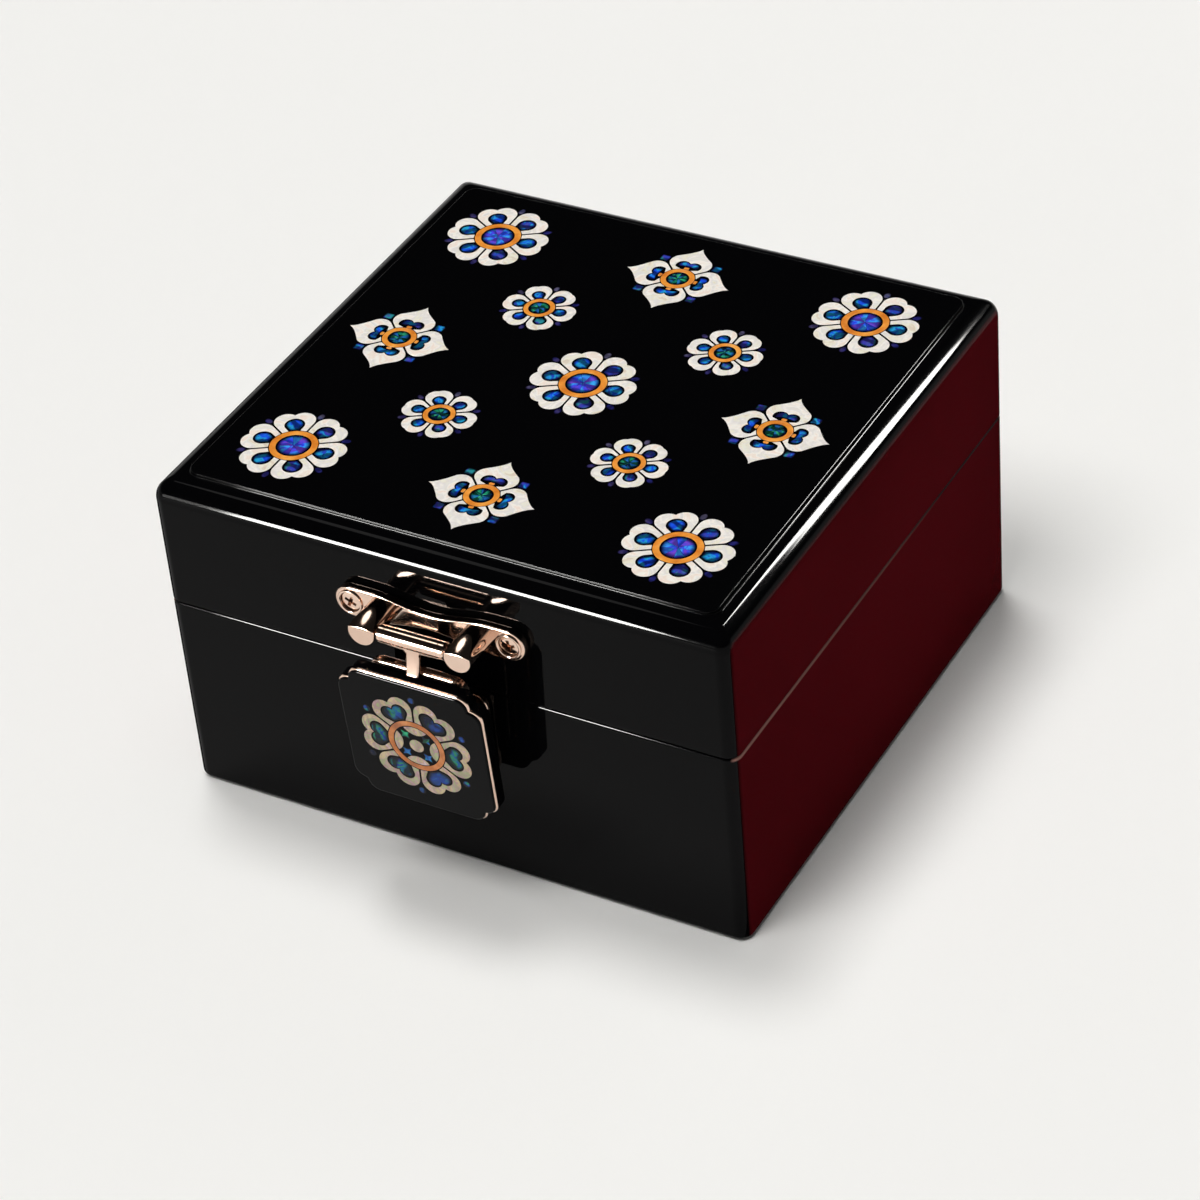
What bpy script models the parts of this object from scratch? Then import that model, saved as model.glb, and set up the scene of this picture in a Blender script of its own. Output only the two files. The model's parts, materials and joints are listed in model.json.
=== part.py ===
"""Lacquer jewelry box: a hinged lid with inlaid rosettes and a hanging hasp clasp.

Metres, +Z up, front towards -Y. The origin is the centre of the face the box rests on.
"""

import math
from dataclasses import dataclass

import bmesh
import bpy
from mathutils import Matrix, Vector

# Fits between pieces
FIT = 0.0003
OVERRUN = 0.002

# Box body
BOX_WIDTH = 0.130
BOX_DEPTH = 0.126
SEAM = 0.0472
LID_HEIGHT = 0.0293
WALL = 0.006
CORNER_RADIUS = 0.003
INNER_RADIUS = 0.0015
SEAM_EDGE = 0.0007
FOOT_EDGE = 0.0008
TOP_ROUND = 0.0043
BASE_LIFT = 0.0005
BASE_FLOOR = 0.005
LID_ROOF = 0.007

# Felt under the base
FELT_INSET = 0.005
FELT_THICKNESS = 0.0012

# Raised panel let into the lid
PANEL_BORDER = 0.0005
PANEL_RADIUS = 0.0035
PANEL_DEPTH = 0.0025
PANEL_RISE = 0.001
PANEL_SLOPE = 0.0013

# Velvet lining, dividers and ring rolls
CARD = 0.0016
CARD_EDGE = 0.0006
LIP = 0.0025
PAD_THICKNESS = 0.0015
DIVIDER_THICKNESS = 0.0026
DIVIDER_HEIGHT = 0.031
ROLL_WIDTH = 0.0114
ROLL_HEIGHT = 0.028
ROLL_END = 0.003
ROLL_DRAW_SHARE = 0.86
ROLL_COUNT = 4

# Mirror under the lid
BACKING_THICKNESS = 0.0012
MIRROR_THICKNESS = 0.002
FRAME_WIDTH = 0.009
FRAME_THICKNESS = 0.0016
FRAME_RADIUS = 0.002

# Butt hinges on the back
HINGE_OFFSET = 0.036
LEAF_WIDTH = 0.016
LEAF_HEIGHT = 0.0092
LEAF_THICKNESS = 0.001
LEAF_CHAMFER = 0.0012
BARREL_RADIUS = 0.0016
HINGE_PIN_RADIUS = 0.00065
STOP_REACH = 0.0011
STOP_THICKNESS = 0.0007
LID_OPENING = math.radians(100)
LEAF_SCREW_SPACING = 0.0096

# Wood screws
LEAF_SCREW_HEAD = 0.0014
LEAF_SCREW_SHANK = 0.0007
PLATE_SCREW_HEAD = 0.0021
PLATE_SCREW_SHANK = 0.0009
SCREW_LENGTH = 0.005
SCREW_TIP = 0.001

# Hasp plate on the lid
PLATE_THICKNESS = 0.0018
PLATE_SCREW_SPACING = 0.0358
PLATE_END_RADIUS = 0.0035
PLATE_WAIST = 0.0036
PLATE_WAIST_REACH = 0.0135
BOSS_RING_WIDTH = 0.0006
BOSS_RING_RISE = 0.0004
LUG_RADIUS = 0.00295
LUG_SPACING = 0.0216
LUG_STANDOFF = 0.010
LUG_EDGE = 0.0003
LUG_FLAT_REACH = 0.005
LUG_FLAT_DROP = 0.0016
HASP_AXIS_STANDOFF = 0.0082
HASP_AXIS_HEIGHT = 0.0152

# Hasp, drawn upright about its own pin and then leaned against the base
HASP_LEAN = math.radians(4.2)
HASP_PIN_RADIUS = 0.0007
CROSSBAR_RADIUS = 0.0018
TONGUE_THICKNESS = 0.0022
STEM_WIDTH = 0.0032
STEM_FILLET = 0.003
STEM_LENGTH = 0.0068
HASP_BACK_WIDTH = 0.022
HASP_BACK_HEIGHT = 0.027
HASP_BACK_RADIUS = 0.003
HOUSING_SIZE = 0.033
HOUSING_TOP = 0.007
HOUSING_THICKNESS = 0.004
HOUSING_NOTCH = 0.0027
HOUSING_EDGE = 0.0004
HOUSING_RIM = 0.0006
TILE_THICKNESS = 0.002
MAGNET_RADIUS = 0.004
MAGNET_THICKNESS = 0.0011
MAGNET_DROP = 0.026

# Keeper on the base
KEEPER_WIDTH = 0.030
KEEPER_HEIGHT = 0.021
KEEPER_RADIUS = 0.003
KEEPER_THICKNESS = 0.0013
KEEPER_BOSS_WALL = 0.001
KEEPER_SCREW_SPACING = 0.0225
STEEL_THICKNESS = 0.0012

# Inlay
INLAY_THICKNESS = 0.0005
PETAL_ROOT = 0.0006
FLOWER_INSET = 0.02135
LARGE_LOBE = 0.0026
LARGE_REACH = 0.00875
LARGE_SLIT = 0.00045
LARGE_RING_OUTER = 0.005
LARGE_RING_INNER = 0.00365
POINTED_LOBE = 0.0026
POINTED_REACH = 0.0065
POINTED_RING_OUTER = 0.00365
POINTED_RING_INNER = 0.00247
SMALL_LOBE = 0.0022
SMALL_REACH = 0.006
SMALL_RING_OUTER = 0.00335
SMALL_RING_INNER = 0.00232
TILE_LOBE = 0.0027
TILE_REACH = 0.0098
TILE_RING_OUTER = 0.0064
TILE_RING_INNER = 0.0052

# Faceting
CORNER_STEPS = 4
LINING_STEPS = 2
ROUND_STEPS = 4
PETAL_STEPS = 4
NOTCH_STEPS = 3
BARREL_SIDES = 12
LUG_SIDES = 20
SCREW_SIDES = 8
RING_SIDES = 16
SMOOTH_ANGLE = math.radians(38)

# Places worked out from the sizes above
BASE_TOP = SEAM - FIT / 2
LID_BOTTOM = SEAM + FIT / 2
LID_TOP = SEAM + LID_HEIGHT
PANEL_INSET = TOP_ROUND + PANEL_BORDER
FLOWER_X = BOX_WIDTH / 2 - FLOWER_INSET
FLOWER_Y = BOX_DEPTH / 2 - FLOWER_INSET
PANEL_TOP = LID_TOP + PANEL_RISE
FLOOR_TOP = FELT_THICKNESS + FIT + BASE_FLOOR
PAD_TOP = FLOOR_TOP + FIT + PAD_THICKNESS
ROOF_UNDERSIDE = LID_TOP - LID_ROOF
CAVITY_X = BOX_WIDTH / 2 - WALL
CAVITY_Y = BOX_DEPTH / 2 - WALL
WELL_X = CAVITY_X - FIT - CARD
WELL_Y = CAVITY_Y - FIT - CARD
LID_AXIS = Vector((0.0, BOX_DEPTH / 2 + FIT + BARREL_RADIUS, SEAM))
HASP_AXIS = Vector((0.0, -BOX_DEPTH / 2 - HASP_AXIS_STANDOFF, SEAM + HASP_AXIS_HEIGHT))
LEAF_FACE = BOX_DEPTH / 2 + FIT + LEAF_THICKNESS
PLATE_FACE = BOX_DEPTH / 2 + FIT + PLATE_THICKNESS
KEEPER_FACE = BOX_DEPTH / 2 + FIT + KEEPER_THICKNESS
KEEPER_CENTRE = BASE_TOP - FIT - KEEPER_HEIGHT / 2
PLATE_SCREW_PLACES = [(end * PLATE_SCREW_SPACING / 2, HASP_AXIS.z) for end in (-1, 1)]
KEEPER_SCREW_PLACES = [(end * KEEPER_SCREW_SPACING / 2, KEEPER_CENTRE) for end in (-1, 1)]
HOUSING_CENTRE = -HOUSING_TOP - HOUSING_SIZE / 2
HOUSING_BACK = TONGUE_THICKNESS / 2 + FIT
HOUSING_FRONT = HOUSING_BACK + HOUSING_THICKNESS
TILE_FRONT = HOUSING_FRONT - FIT

# Sketches are drawn in X and Y and raised along Z, then turned to face front or back
FACE_FRONT = Matrix.Rotation(math.pi / 2, 4, "X")
FACE_BACK = Matrix.Rotation(math.pi, 4, "Z") @ FACE_FRONT
ALONG_X = Matrix.Rotation(math.pi / 2, 4, "Y")
LEANED = Matrix.Translation(HASP_AXIS) @ Matrix.Rotation(HASP_LEAN, 4, "X")
ON_HASP = LEANED @ FACE_FRONT @ Matrix.Translation((0.0, HOUSING_CENTRE, 0.0))


@dataclass(frozen=True)
class Flower:
    """One rosette: petals round a ring, each petal with two round shoulders."""

    petals: int
    lobe: float
    reach: float
    slit: float
    ring_outer: float
    ring_inner: float
    pointed: bool = False


LARGE_FLOWER = Flower(6, LARGE_LOBE, LARGE_REACH, LARGE_SLIT, LARGE_RING_OUTER, LARGE_RING_INNER)
SMALL_FLOWER = Flower(6, SMALL_LOBE, SMALL_REACH, LARGE_SLIT, SMALL_RING_OUTER, SMALL_RING_INNER)
TILE_FLOWER = Flower(6, TILE_LOBE, TILE_REACH, LARGE_SLIT, TILE_RING_OUTER, TILE_RING_INNER)
POINTED_FLOWER = Flower(
    4, POINTED_LOBE, POINTED_REACH, LARGE_SLIT, POINTED_RING_OUTER, POINTED_RING_INNER, pointed=True
)


# Outlines, counter-clockwise

def rectangle(x0, x1, y0, y1):
    return [(x0, y0), (x1, y0), (x1, y1), (x0, y1)]


def circle(radius, sides, centre=(0.0, 0.0)):
    turns = [2 * math.pi * (i + 0.5) / sides for i in range(sides)]
    return [(centre[0] + radius * math.cos(a), centre[1] + radius * math.sin(a)) for a in turns]


def arc(centre, radius, start, end, steps):
    turns = [start + (end - start) * i / steps for i in range(steps + 1)]
    return [(centre[0] + radius * math.cos(a), centre[1] + radius * math.sin(a)) for a in turns]


def rounded_rectangle(width, depth, radius, steps=CORNER_STEPS):
    x = width / 2 - radius
    y = depth / 2 - radius
    points = []
    for quarter, centre in enumerate([(x, y), (-x, y), (-x, -y), (x, -y)]):
        start = quarter * math.pi / 2
        points += arc(centre, radius, start, start + math.pi / 2, steps)
    return points


def box_ring(inset, height, radius=CORNER_RADIUS):
    """Horizontal ring that follows the outside of the box, set in from it."""
    corner = max(radius - inset, INNER_RADIUS)
    outline = rounded_rectangle(BOX_WIDTH - 2 * inset, BOX_DEPTH - 2 * inset, corner)
    return at_height(outline, height)


def turned_outline(outline, angle, centre=(0.0, 0.0)):
    c = math.cos(angle)
    s = math.sin(angle)
    return [(centre[0] + c * x - s * y, centre[1] + s * x + c * y) for x, y in outline]


def at_height(outline, height):
    return [(x, y, height) for x, y in outline]


# Solids

def loft(rings, closed=False):
    """Closed solid through rings of equal length, capped at both ends unless it closes on itself."""
    solid = bmesh.new()
    rows = [[solid.verts.new(point) for point in ring] for ring in rings]
    count = len(rows[0])
    pairs = list(zip(rows, rows[1:]))
    if closed:
        pairs.append((rows[-1], rows[0]))
    for low, high in pairs:
        for i in range(count):
            j = (i + 1) % count
            solid.faces.new((low[i], low[j], high[j], high[i]))
    if not closed:
        solid.faces.new(list(reversed(rows[0])))
        solid.faces.new(rows[-1])
    return solid


def prism(outline, low, high):
    return loft([at_height(outline, low), at_height(outline, high)])


def block(x0, x1, y0, y1, z0, z1):
    return prism(rectangle(x0, x1, y0, y1), z0, z1)


def turned(profile, sides, centre=(0.0, 0.0)):
    """Solid of revolution about a vertical line, from (radius, height) pairs going up."""
    return loft([at_height(circle(radius, sides, centre), height) for radius, height in profile])


def tube(outer, inner, low, high):
    """Ring with straight walls between two outlines of equal length."""
    section = [at_height(outer, low), at_height(outer, high), at_height(inner, high), at_height(inner, low)]
    return loft(section, closed=True)


def washer(outer, inner, low, high, sides, centre=(0.0, 0.0)):
    return tube(circle(outer, sides, centre), circle(inner, sides, centre), low, high)


def placed(solid, matrix):
    solid.transform(matrix)
    return solid


def gather(solids):
    """Several separate solids as one mesh."""
    whole = bmesh.new()
    for solid in solids:
        mesh = bpy.data.meshes.new("gather")
        solid.to_mesh(mesh)
        solid.free()
        whole.from_mesh(mesh)
        bpy.data.meshes.remove(mesh)
    return whole


def stand_in(solid):
    mesh = bpy.data.meshes.new("stand_in")
    solid.to_mesh(mesh)
    solid.free()
    body = bpy.data.objects.new("stand_in", mesh)
    bpy.context.scene.collection.objects.link(body)
    return body


def combine(solid, tool, operation):
    """Exact Boolean of two solids: UNION or DIFFERENCE."""
    body = stand_in(solid)
    cutter = stand_in(tool)
    modifier = body.modifiers.new("combine", "BOOLEAN")
    modifier.operation = operation
    modifier.solver = "EXACT"
    modifier.object = cutter
    result = bmesh.new()
    result.from_object(body, bpy.context.evaluated_depsgraph_get())
    for helper in (body, cutter):
        mesh = helper.data
        bpy.data.objects.remove(helper)
        bpy.data.meshes.remove(mesh)
    return result


def cut(solid, tool):
    return combine(solid, tool, "DIFFERENCE")


def fuse(solids):
    whole = solids[0]
    for solid in solids[1:]:
        whole = combine(whole, solid, "UNION")
    return whole


# Finishes

def finish(name, colour, roughness, metallic=0.0):
    material = bpy.data.materials.new(name)
    material.use_nodes = True
    shader = material.node_tree.nodes["Principled BSDF"]
    shader.inputs["Base Color"].default_value = (*colour, 1.0)
    shader.inputs["Roughness"].default_value = roughness
    shader.inputs["Metallic"].default_value = metallic
    material.diffuse_color = (*colour, 1.0)
    return material


def piece(name, solid, material, axis=None):
    """Named object; a piece that moves hangs from the empty on its joint's axis."""
    mesh = bpy.data.meshes.new(name)
    solid.to_mesh(mesh)
    solid.free()
    mesh.shade_smooth()
    mesh.set_sharp_from_angle(angle=SMOOTH_ANGLE)
    mesh.materials.append(material)
    body = bpy.data.objects.new(name, mesh)
    bpy.context.scene.collection.objects.link(body)
    if axis is not None:
        body.parent = axis
        body.matrix_parent_inverse = axis.matrix_world.inverted()
    return body


def joint_axis(name, matrix, parent=None):
    empty = bpy.data.objects.new(name, None)
    bpy.context.scene.collection.objects.link(empty)
    if parent is not None:
        empty.parent = parent
        empty.matrix_parent_inverse = parent.matrix_world.inverted()
    empty.matrix_basis = matrix
    bpy.context.view_layer.update()
    return empty


# Screws

def screw_profile(face, head, shank, grow=0.0):
    """Countersunk wood screw from tip to head, its head flush with the face."""
    tip = face - SCREW_LENGTH
    return [
        (shank / 2 + grow, tip - grow),
        (shank + grow, tip + SCREW_TIP),
        (shank + grow, face - (head - shank)),
        (head + grow, face),
    ]


def screw_holes(places, face, head, shank):
    """Countersunk holes, one clearance larger than the screws that they take."""
    profile = screw_profile(face, head, shank, FIT)
    profile.append((head + FIT, face + OVERRUN))
    return gather([turned(profile, SCREW_SIDES, place) for place in places])


def leaf_holes(side):
    """Screw holes of a leaf on the base side (-1) or the lid side (1) of the seam."""
    height = SEAM + side * (BARREL_RADIUS + FIT + LEAF_HEIGHT / 2)
    places = [(end * LEAF_SCREW_SPACING / 2, height) for end in (-1, 1)]
    return placed(screw_holes(places, LEAF_FACE, LEAF_SCREW_HEAD, LEAF_SCREW_SHANK), FACE_BACK)


def plate_holes():
    return placed(
        screw_holes(PLATE_SCREW_PLACES, PLATE_FACE, PLATE_SCREW_HEAD, PLATE_SCREW_SHANK), FACE_FRONT
    )


def keeper_holes():
    return placed(
        screw_holes(KEEPER_SCREW_PLACES, KEEPER_FACE, PLATE_SCREW_HEAD, PLATE_SCREW_SHANK), FACE_FRONT
    )


# Box shells

def base_shell():
    """Open box with a felt recess below, drawn as one wall section from recess to floor."""
    recess = FELT_INSET - FIT
    return loft([
        box_ring(recess, FELT_THICKNESS + FIT),
        box_ring(recess, BASE_LIFT),
        box_ring(FOOT_EDGE, BASE_LIFT),
        box_ring(0.0, BASE_LIFT + FOOT_EDGE),
        box_ring(0.0, BASE_TOP - SEAM_EDGE),
        box_ring(SEAM_EDGE, BASE_TOP),
        box_ring(WALL, BASE_TOP),
        box_ring(WALL, FLOOR_TOP),
    ])


def lid_shell():
    """Lid with a rounded top edge and a recess that seats the raised panel."""
    turns = [math.pi / 2 * i / ROUND_STEPS for i in range(ROUND_STEPS + 1)]
    round_over = [
        box_ring(TOP_ROUND * (1 - math.cos(a)), LID_TOP - TOP_ROUND * (1 - math.sin(a))) for a in turns
    ]
    shell = loft([
        box_ring(WALL, ROOF_UNDERSIDE),
        box_ring(WALL, LID_BOTTOM),
        box_ring(SEAM_EDGE, LID_BOTTOM),
        box_ring(0.0, LID_BOTTOM + SEAM_EDGE),
        *round_over,
        panel_ring(-FIT, LID_TOP),
        panel_ring(-FIT, LID_TOP - PANEL_DEPTH),
    ])
    return cut(shell, plate_holes())


def underside_felt():
    outline = rounded_rectangle(BOX_WIDTH - 2 * FELT_INSET, BOX_DEPTH - 2 * FELT_INSET, CORNER_RADIUS)
    return prism(outline, 0.0, FELT_THICKNESS)


def panel_ring(inset, height):
    width = BOX_WIDTH - 2 * (PANEL_INSET + inset)
    depth = BOX_DEPTH - 2 * (PANEL_INSET + inset)
    return at_height(rounded_rectangle(width, depth, PANEL_RADIUS - inset), height)


def lid_panel():
    """Raised field: an S-shaped edge climbs from the border, with a recess for every rosette."""
    steps = [i / ROUND_STEPS for i in range(ROUND_STEPS + 1)]
    climb = [
        panel_ring(PANEL_SLOPE * t, LID_TOP + PANEL_RISE * (1 - math.cos(math.pi * t)) / 2) for t in steps
    ]
    panel = loft([panel_ring(0.0, LID_TOP - PANEL_DEPTH + FIT), *climb])
    recesses = [flower_recess(flower, place, PANEL_TOP) for _, flower, place in lid_flowers()]
    return cut(panel, gather(recesses))


# Rosettes

def lid_flowers():
    """Every rosette of the lid as (name, kind, centre): a lattice of three kinds."""
    corners = [
        (f"{depth}_{side}", (x * FLOWER_X, y * FLOWER_Y))
        for x, side in ((-1, "left"), (1, "right"))
        for y, depth in ((-1, "front"), (1, "back"))
    ]
    edges = [
        ("front", (0.0, -FLOWER_Y)),
        ("back", (0.0, FLOWER_Y)),
        ("left", (-FLOWER_X, 0.0)),
        ("right", (FLOWER_X, 0.0)),
    ]
    flowers = [("rosette_centre", LARGE_FLOWER, (0.0, 0.0))]
    flowers += [("rosette_" + name, LARGE_FLOWER, place) for name, place in corners]
    flowers += [("star_" + name, POINTED_FLOWER, place) for name, place in edges]
    flowers += [("blossom_" + name, SMALL_FLOWER, (x / 2, y / 2)) for name, (x, y) in corners]
    return flowers


def shoulder_centre(flower):
    """Centre of the upper shoulder of the petal that points along +X."""
    half = math.pi / flower.petals
    turn = half - math.asin((flower.lobe + flower.slit / 2) / flower.reach)
    return flower.reach * math.cos(turn), flower.reach * math.sin(turn)


def shoulder_edge(flower, radius, end):
    """Upper outer edge of a petal, from its tip on the axis to the angle end on its shoulder."""
    x, y = shoulder_centre(flower)
    if flower.pointed:
        tip = (x + y + radius * math.sqrt(2), 0.0)
        return [tip, *arc((x, y), radius, math.pi / 4, end, PETAL_STEPS - 1)]
    return arc((x, y), radius, -math.asin(y / radius), end, PETAL_STEPS)


def rosette_outline(flower):
    """Outline of one fretted sheet: the slits between petals stop short of the centre hole."""
    half = math.pi / flower.petals
    root = flower.ring_outer + FIT + PETAL_ROOT
    root_turn = half - math.asin(flower.slit / 2 / root)
    upper = shoulder_edge(flower, flower.lobe, half + math.pi / 2)
    upper.append((root * math.cos(root_turn), root * math.sin(root_turn)))
    petal = [(x, -y) for x, y in reversed(upper[1:])] + upper
    points = []
    for i in range(flower.petals):
        points += turned_outline(petal, 2 * half * i)
    return points


def flower_outline(flower):
    """Outline round all the petals, one clearance outside them."""
    half = math.pi / flower.petals
    x, y = shoulder_centre(flower)
    radius = flower.lobe + FIT
    foot = x * math.cos(half) + y * math.sin(half)
    side = flower.lobe + flower.slit / 2
    meet = foot + math.sqrt(max(radius ** 2 - side ** 2, 0.0))
    valley = (meet * math.cos(half), meet * math.sin(half))
    edge = shoulder_edge(flower, radius, math.atan2(valley[1] - y, valley[0] - x))
    edge[-1] = valley
    petal = [(px, -py) for px, py in reversed(edge[1:-1])] + edge
    points = []
    for i in range(flower.petals):
        points += turned_outline(petal, 2 * half * i)
    return points


def flower_recess(flower, place, surface):
    outline = turned_outline(flower_outline(flower), 0.0, place)
    return prism(outline, surface - INLAY_THICKNESS - FIT, surface + OVERRUN)


def rosette(flower, place, surface):
    low = surface - INLAY_THICKNESS
    radius = flower.ring_outer + FIT
    sheet = prism(turned_outline(rosette_outline(flower), 0.0, place), low, surface)
    return cut(sheet, turned([(radius, low - OVERRUN), (radius, surface + OVERRUN)], RING_SIDES, place))


def rosette_ring(flower, place, surface):
    return washer(flower.ring_outer, flower.ring_inner, surface - INLAY_THICKNESS, surface, RING_SIDES, place)


def build_lid_inlay(pearl, amber, axis):
    for name, flower, place in lid_flowers():
        piece(name, rosette(flower, place, PANEL_TOP), pearl, axis)
        piece(name + "_ring", rosette_ring(flower, place, PANEL_TOP), amber, axis)


# Velvet lining

def soft_block(x0, x1, y0, y1, z0, z1, edge):
    """Velvet-covered card whose upper edges are rounded."""
    turns = [math.pi / 2 * i / LINING_STEPS for i in range(LINING_STEPS + 1)]
    rings = [at_height(rectangle(x0, x1, y0, y1), z0)]
    for a in turns:
        inset = edge * (1 - math.cos(a))
        outline = rectangle(x0 + inset, x1 - inset, y0 + inset, y1 - inset)
        rings.append(at_height(outline, z1 - edge * (1 - math.sin(a))))
    return loft(rings)


def wall_lining(low, high):
    """Velvet-covered card folded round the walls, with a rounded upper edge."""
    outer = (CAVITY_X - FIT, CAVITY_Y - FIT, INNER_RADIUS)
    inner = (WELL_X, WELL_Y, CARD_EDGE)
    section = [
        (outer, 0.0, low), (outer, 0.0, high - CARD_EDGE), (outer, CARD_EDGE, high),
        (inner, -CARD_EDGE, high), (inner, 0.0, high - CARD_EDGE), (inner, 0.0, low),
    ]
    rings = []
    for (x, y, radius), inset, height in section:
        outline = rounded_rectangle(2 * (x - inset), 2 * (y - inset), radius, LINING_STEPS)
        rings.append(at_height(outline, height))
    return loft(rings, True)


def ring_roll(left):
    """Padded strip that stands on edge; rings are pushed into the slit beside it."""
    bottom = PAD_TOP + FIT
    radius = ROLL_WIDTH / 2
    centre = (left + radius, bottom + ROLL_HEIGHT - radius)
    dome = arc(centre, radius, 0.0, math.pi, 2 * ROUND_STEPS)
    section = [(left, bottom), (left + ROLL_WIDTH, bottom), *dome]
    drawn = [
        (centre[0] + (x - centre[0]) * ROLL_DRAW_SHARE, bottom + (z - bottom) * ROLL_DRAW_SHARE)
        for x, z in section
    ]
    end = WELL_Y - FIT
    roll = loft([
        at_height(drawn, -end),
        at_height(section, -end + ROLL_END),
        at_height(section, end - ROLL_END),
        at_height(drawn, end),
    ])
    return placed(roll, FACE_FRONT)


def build_lining(velvet):
    pad_x = WELL_X - FIT
    pad_y = WELL_Y - FIT
    divider_left = -WELL_X + ROLL_COUNT * (ROLL_WIDTH + FIT) + FIT
    divider_right = divider_left + DIVIDER_THICKNESS
    divider_bottom = PAD_TOP + FIT
    floor_pad = block(-pad_x, pad_x, -pad_y, pad_y, FLOOR_TOP + FIT, PAD_TOP)
    divider = soft_block(
        divider_left, divider_right, -pad_y, pad_y, divider_bottom, divider_bottom + DIVIDER_HEIGHT, CARD_EDGE
    )
    piece("base_wall_lining", wall_lining(FLOOR_TOP + FIT, SEAM + LIP), velvet)
    piece("base_floor_pad", floor_pad, velvet)
    piece("well_divider", divider, velvet)
    for i in range(ROLL_COUNT):
        left = -WELL_X + FIT + i * (ROLL_WIDTH + FIT)
        piece(f"ring_roll_{i + 1}", ring_roll(left), velvet)


def mirror_frame():
    """Velvet-covered frame that holds the mirror up by its edges."""
    top = ROOF_UNDERSIDE - 2 * FIT - BACKING_THICKNESS - MIRROR_THICKNESS - FIT
    low = top - FRAME_THICKNESS
    wide = 2 * (WELL_X - FIT)
    deep = 2 * (WELL_Y - FIT)
    outer = rounded_rectangle(wide, deep, FRAME_RADIUS)
    inner = rounded_rectangle(wide - 2 * FRAME_WIDTH, deep - 2 * FRAME_WIDTH, FRAME_RADIUS)
    return tube(outer, inner, low, top)


def build_lid_lining(velvet, mirror, axis):
    backing_top = ROOF_UNDERSIDE - FIT
    backing_low = backing_top - BACKING_THICKNESS
    mirror_top = backing_low - FIT
    glass_x = WELL_X - FIT
    glass_y = WELL_Y - FIT
    outline = rounded_rectangle(2 * (CAVITY_X - FIT), 2 * (CAVITY_Y - FIT), INNER_RADIUS, LINING_STEPS)
    backing = prism(outline, backing_low, backing_top)
    glass = block(-glass_x, glass_x, -glass_y, glass_y, mirror_top - MIRROR_THICKNESS, mirror_top)
    piece("lid_wall_lining", wall_lining(SEAM + LIP + 2 * FIT, backing_low - FIT), velvet, axis)
    piece("mirror_backing", backing, velvet, axis)
    piece("lid_mirror", glass, mirror, axis)
    piece("mirror_frame", mirror_frame(), velvet, axis)


# Hinges

def knuckle_spans():
    """Three barrel lengths across a hinge, as (start, end) from its middle."""
    length = (LEAF_WIDTH - 2 * FIT) / 3
    starts = [-LEAF_WIDTH / 2 + i * (length + FIT) for i in range(3)]
    return [(start, start + length) for start in starts]


def barrel(start, end, radius, axis_height, axis_depth):
    """Cylinder along X whose centre line lies at the given height and depth."""
    rod = turned([(radius, start), (radius, end)], BARREL_SIDES)
    return placed(rod, Matrix.Translation((0.0, axis_depth, axis_height)) @ ALONG_X)


def hinge_leaf(side, spans):
    """Leaf with its knuckles; side is -1 for the base and 1 for the lid, x measured from its middle."""
    back = BOX_DEPTH / 2 + FIT
    near = BARREL_RADIUS + FIT
    far = near + LEAF_HEIGHT
    half = LEAF_WIDTH / 2
    edge = [
        (-half, near), (half, near), (half, far - LEAF_CHAMFER), (half - LEAF_CHAMFER, far),
        (-half + LEAF_CHAMFER, far), (-half, far - LEAF_CHAMFER),
    ]
    plate = placed(prism(edge, back, back + LEAF_THICKNESS), FACE_BACK)
    if side < 0:
        plate = placed(plate, Matrix.Rotation(math.pi, 4, "Y"))
    plate = placed(plate, Matrix.Translation((0.0, 0.0, SEAM)))
    leaf = [plate]
    for start, end in spans:
        reach = SEAM + side * (near + LEAF_CHAMFER)
        low, high = sorted((SEAM, reach))
        leaf.append(block(start, end, back, back + LEAF_THICKNESS, low, high))
        leaf.append(barrel(start, end, BARREL_RADIUS, LID_AXIS.z, LID_AXIS.y))
    return fuse(leaf)


def stop_tab(start, end):
    """Tab on the lid leaf's knuckle that meets the base leaf when the lid is fully open."""
    flank = LEAF_THICKNESS - BARREL_RADIUS + FIT
    reach = BARREL_RADIUS + STOP_REACH
    tab = block(start, end, flank, flank + STOP_THICKNESS, -reach, -HINGE_PIN_RADIUS)
    return placed(tab, Matrix.Translation(LID_AXIS) @ Matrix.Rotation(LID_OPENING, 4, "X"))


def hinge_bore():
    return barrel(-LEAF_WIDTH, LEAF_WIDTH, HINGE_PIN_RADIUS + FIT, LID_AXIS.z, LID_AXIS.y)


def build_hinges(brass, axis):
    """Two hinges: the base leaf has the outer knuckles, the lid leaf the middle one with its stop."""
    first, middle, last = knuckle_spans()
    for name, side in (("left", -1), ("right", 1)):
        shift = Matrix.Translation((side * HINGE_OFFSET, 0.0, 0.0))
        base_leaf = cut(cut(hinge_leaf(-1, [first, last]), hinge_bore()), leaf_holes(-1))
        lid_leaf = fuse([hinge_leaf(1, [middle]), stop_tab(*middle)])
        lid_leaf = cut(cut(lid_leaf, hinge_bore()), leaf_holes(1))
        pin = barrel(-LEAF_WIDTH / 2, LEAF_WIDTH / 2, HINGE_PIN_RADIUS, LID_AXIS.z, LID_AXIS.y)
        piece(name + "_hinge_base_leaf", placed(base_leaf, shift), brass)
        piece(name + "_hinge_lid_leaf", placed(lid_leaf, shift), brass, axis)
        piece(name + "_hinge_pin", placed(pin, shift), brass)


# Clasp

def plate_half_height(x):
    """Half the height of the bow-tie plate between its round ends."""
    waist = PLATE_WAIST / 2
    swell = (1 - math.cos(math.pi * min(abs(x) / PLATE_WAIST_REACH, 1.0))) / 2
    return waist + (PLATE_END_RADIUS - waist) * swell


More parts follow.
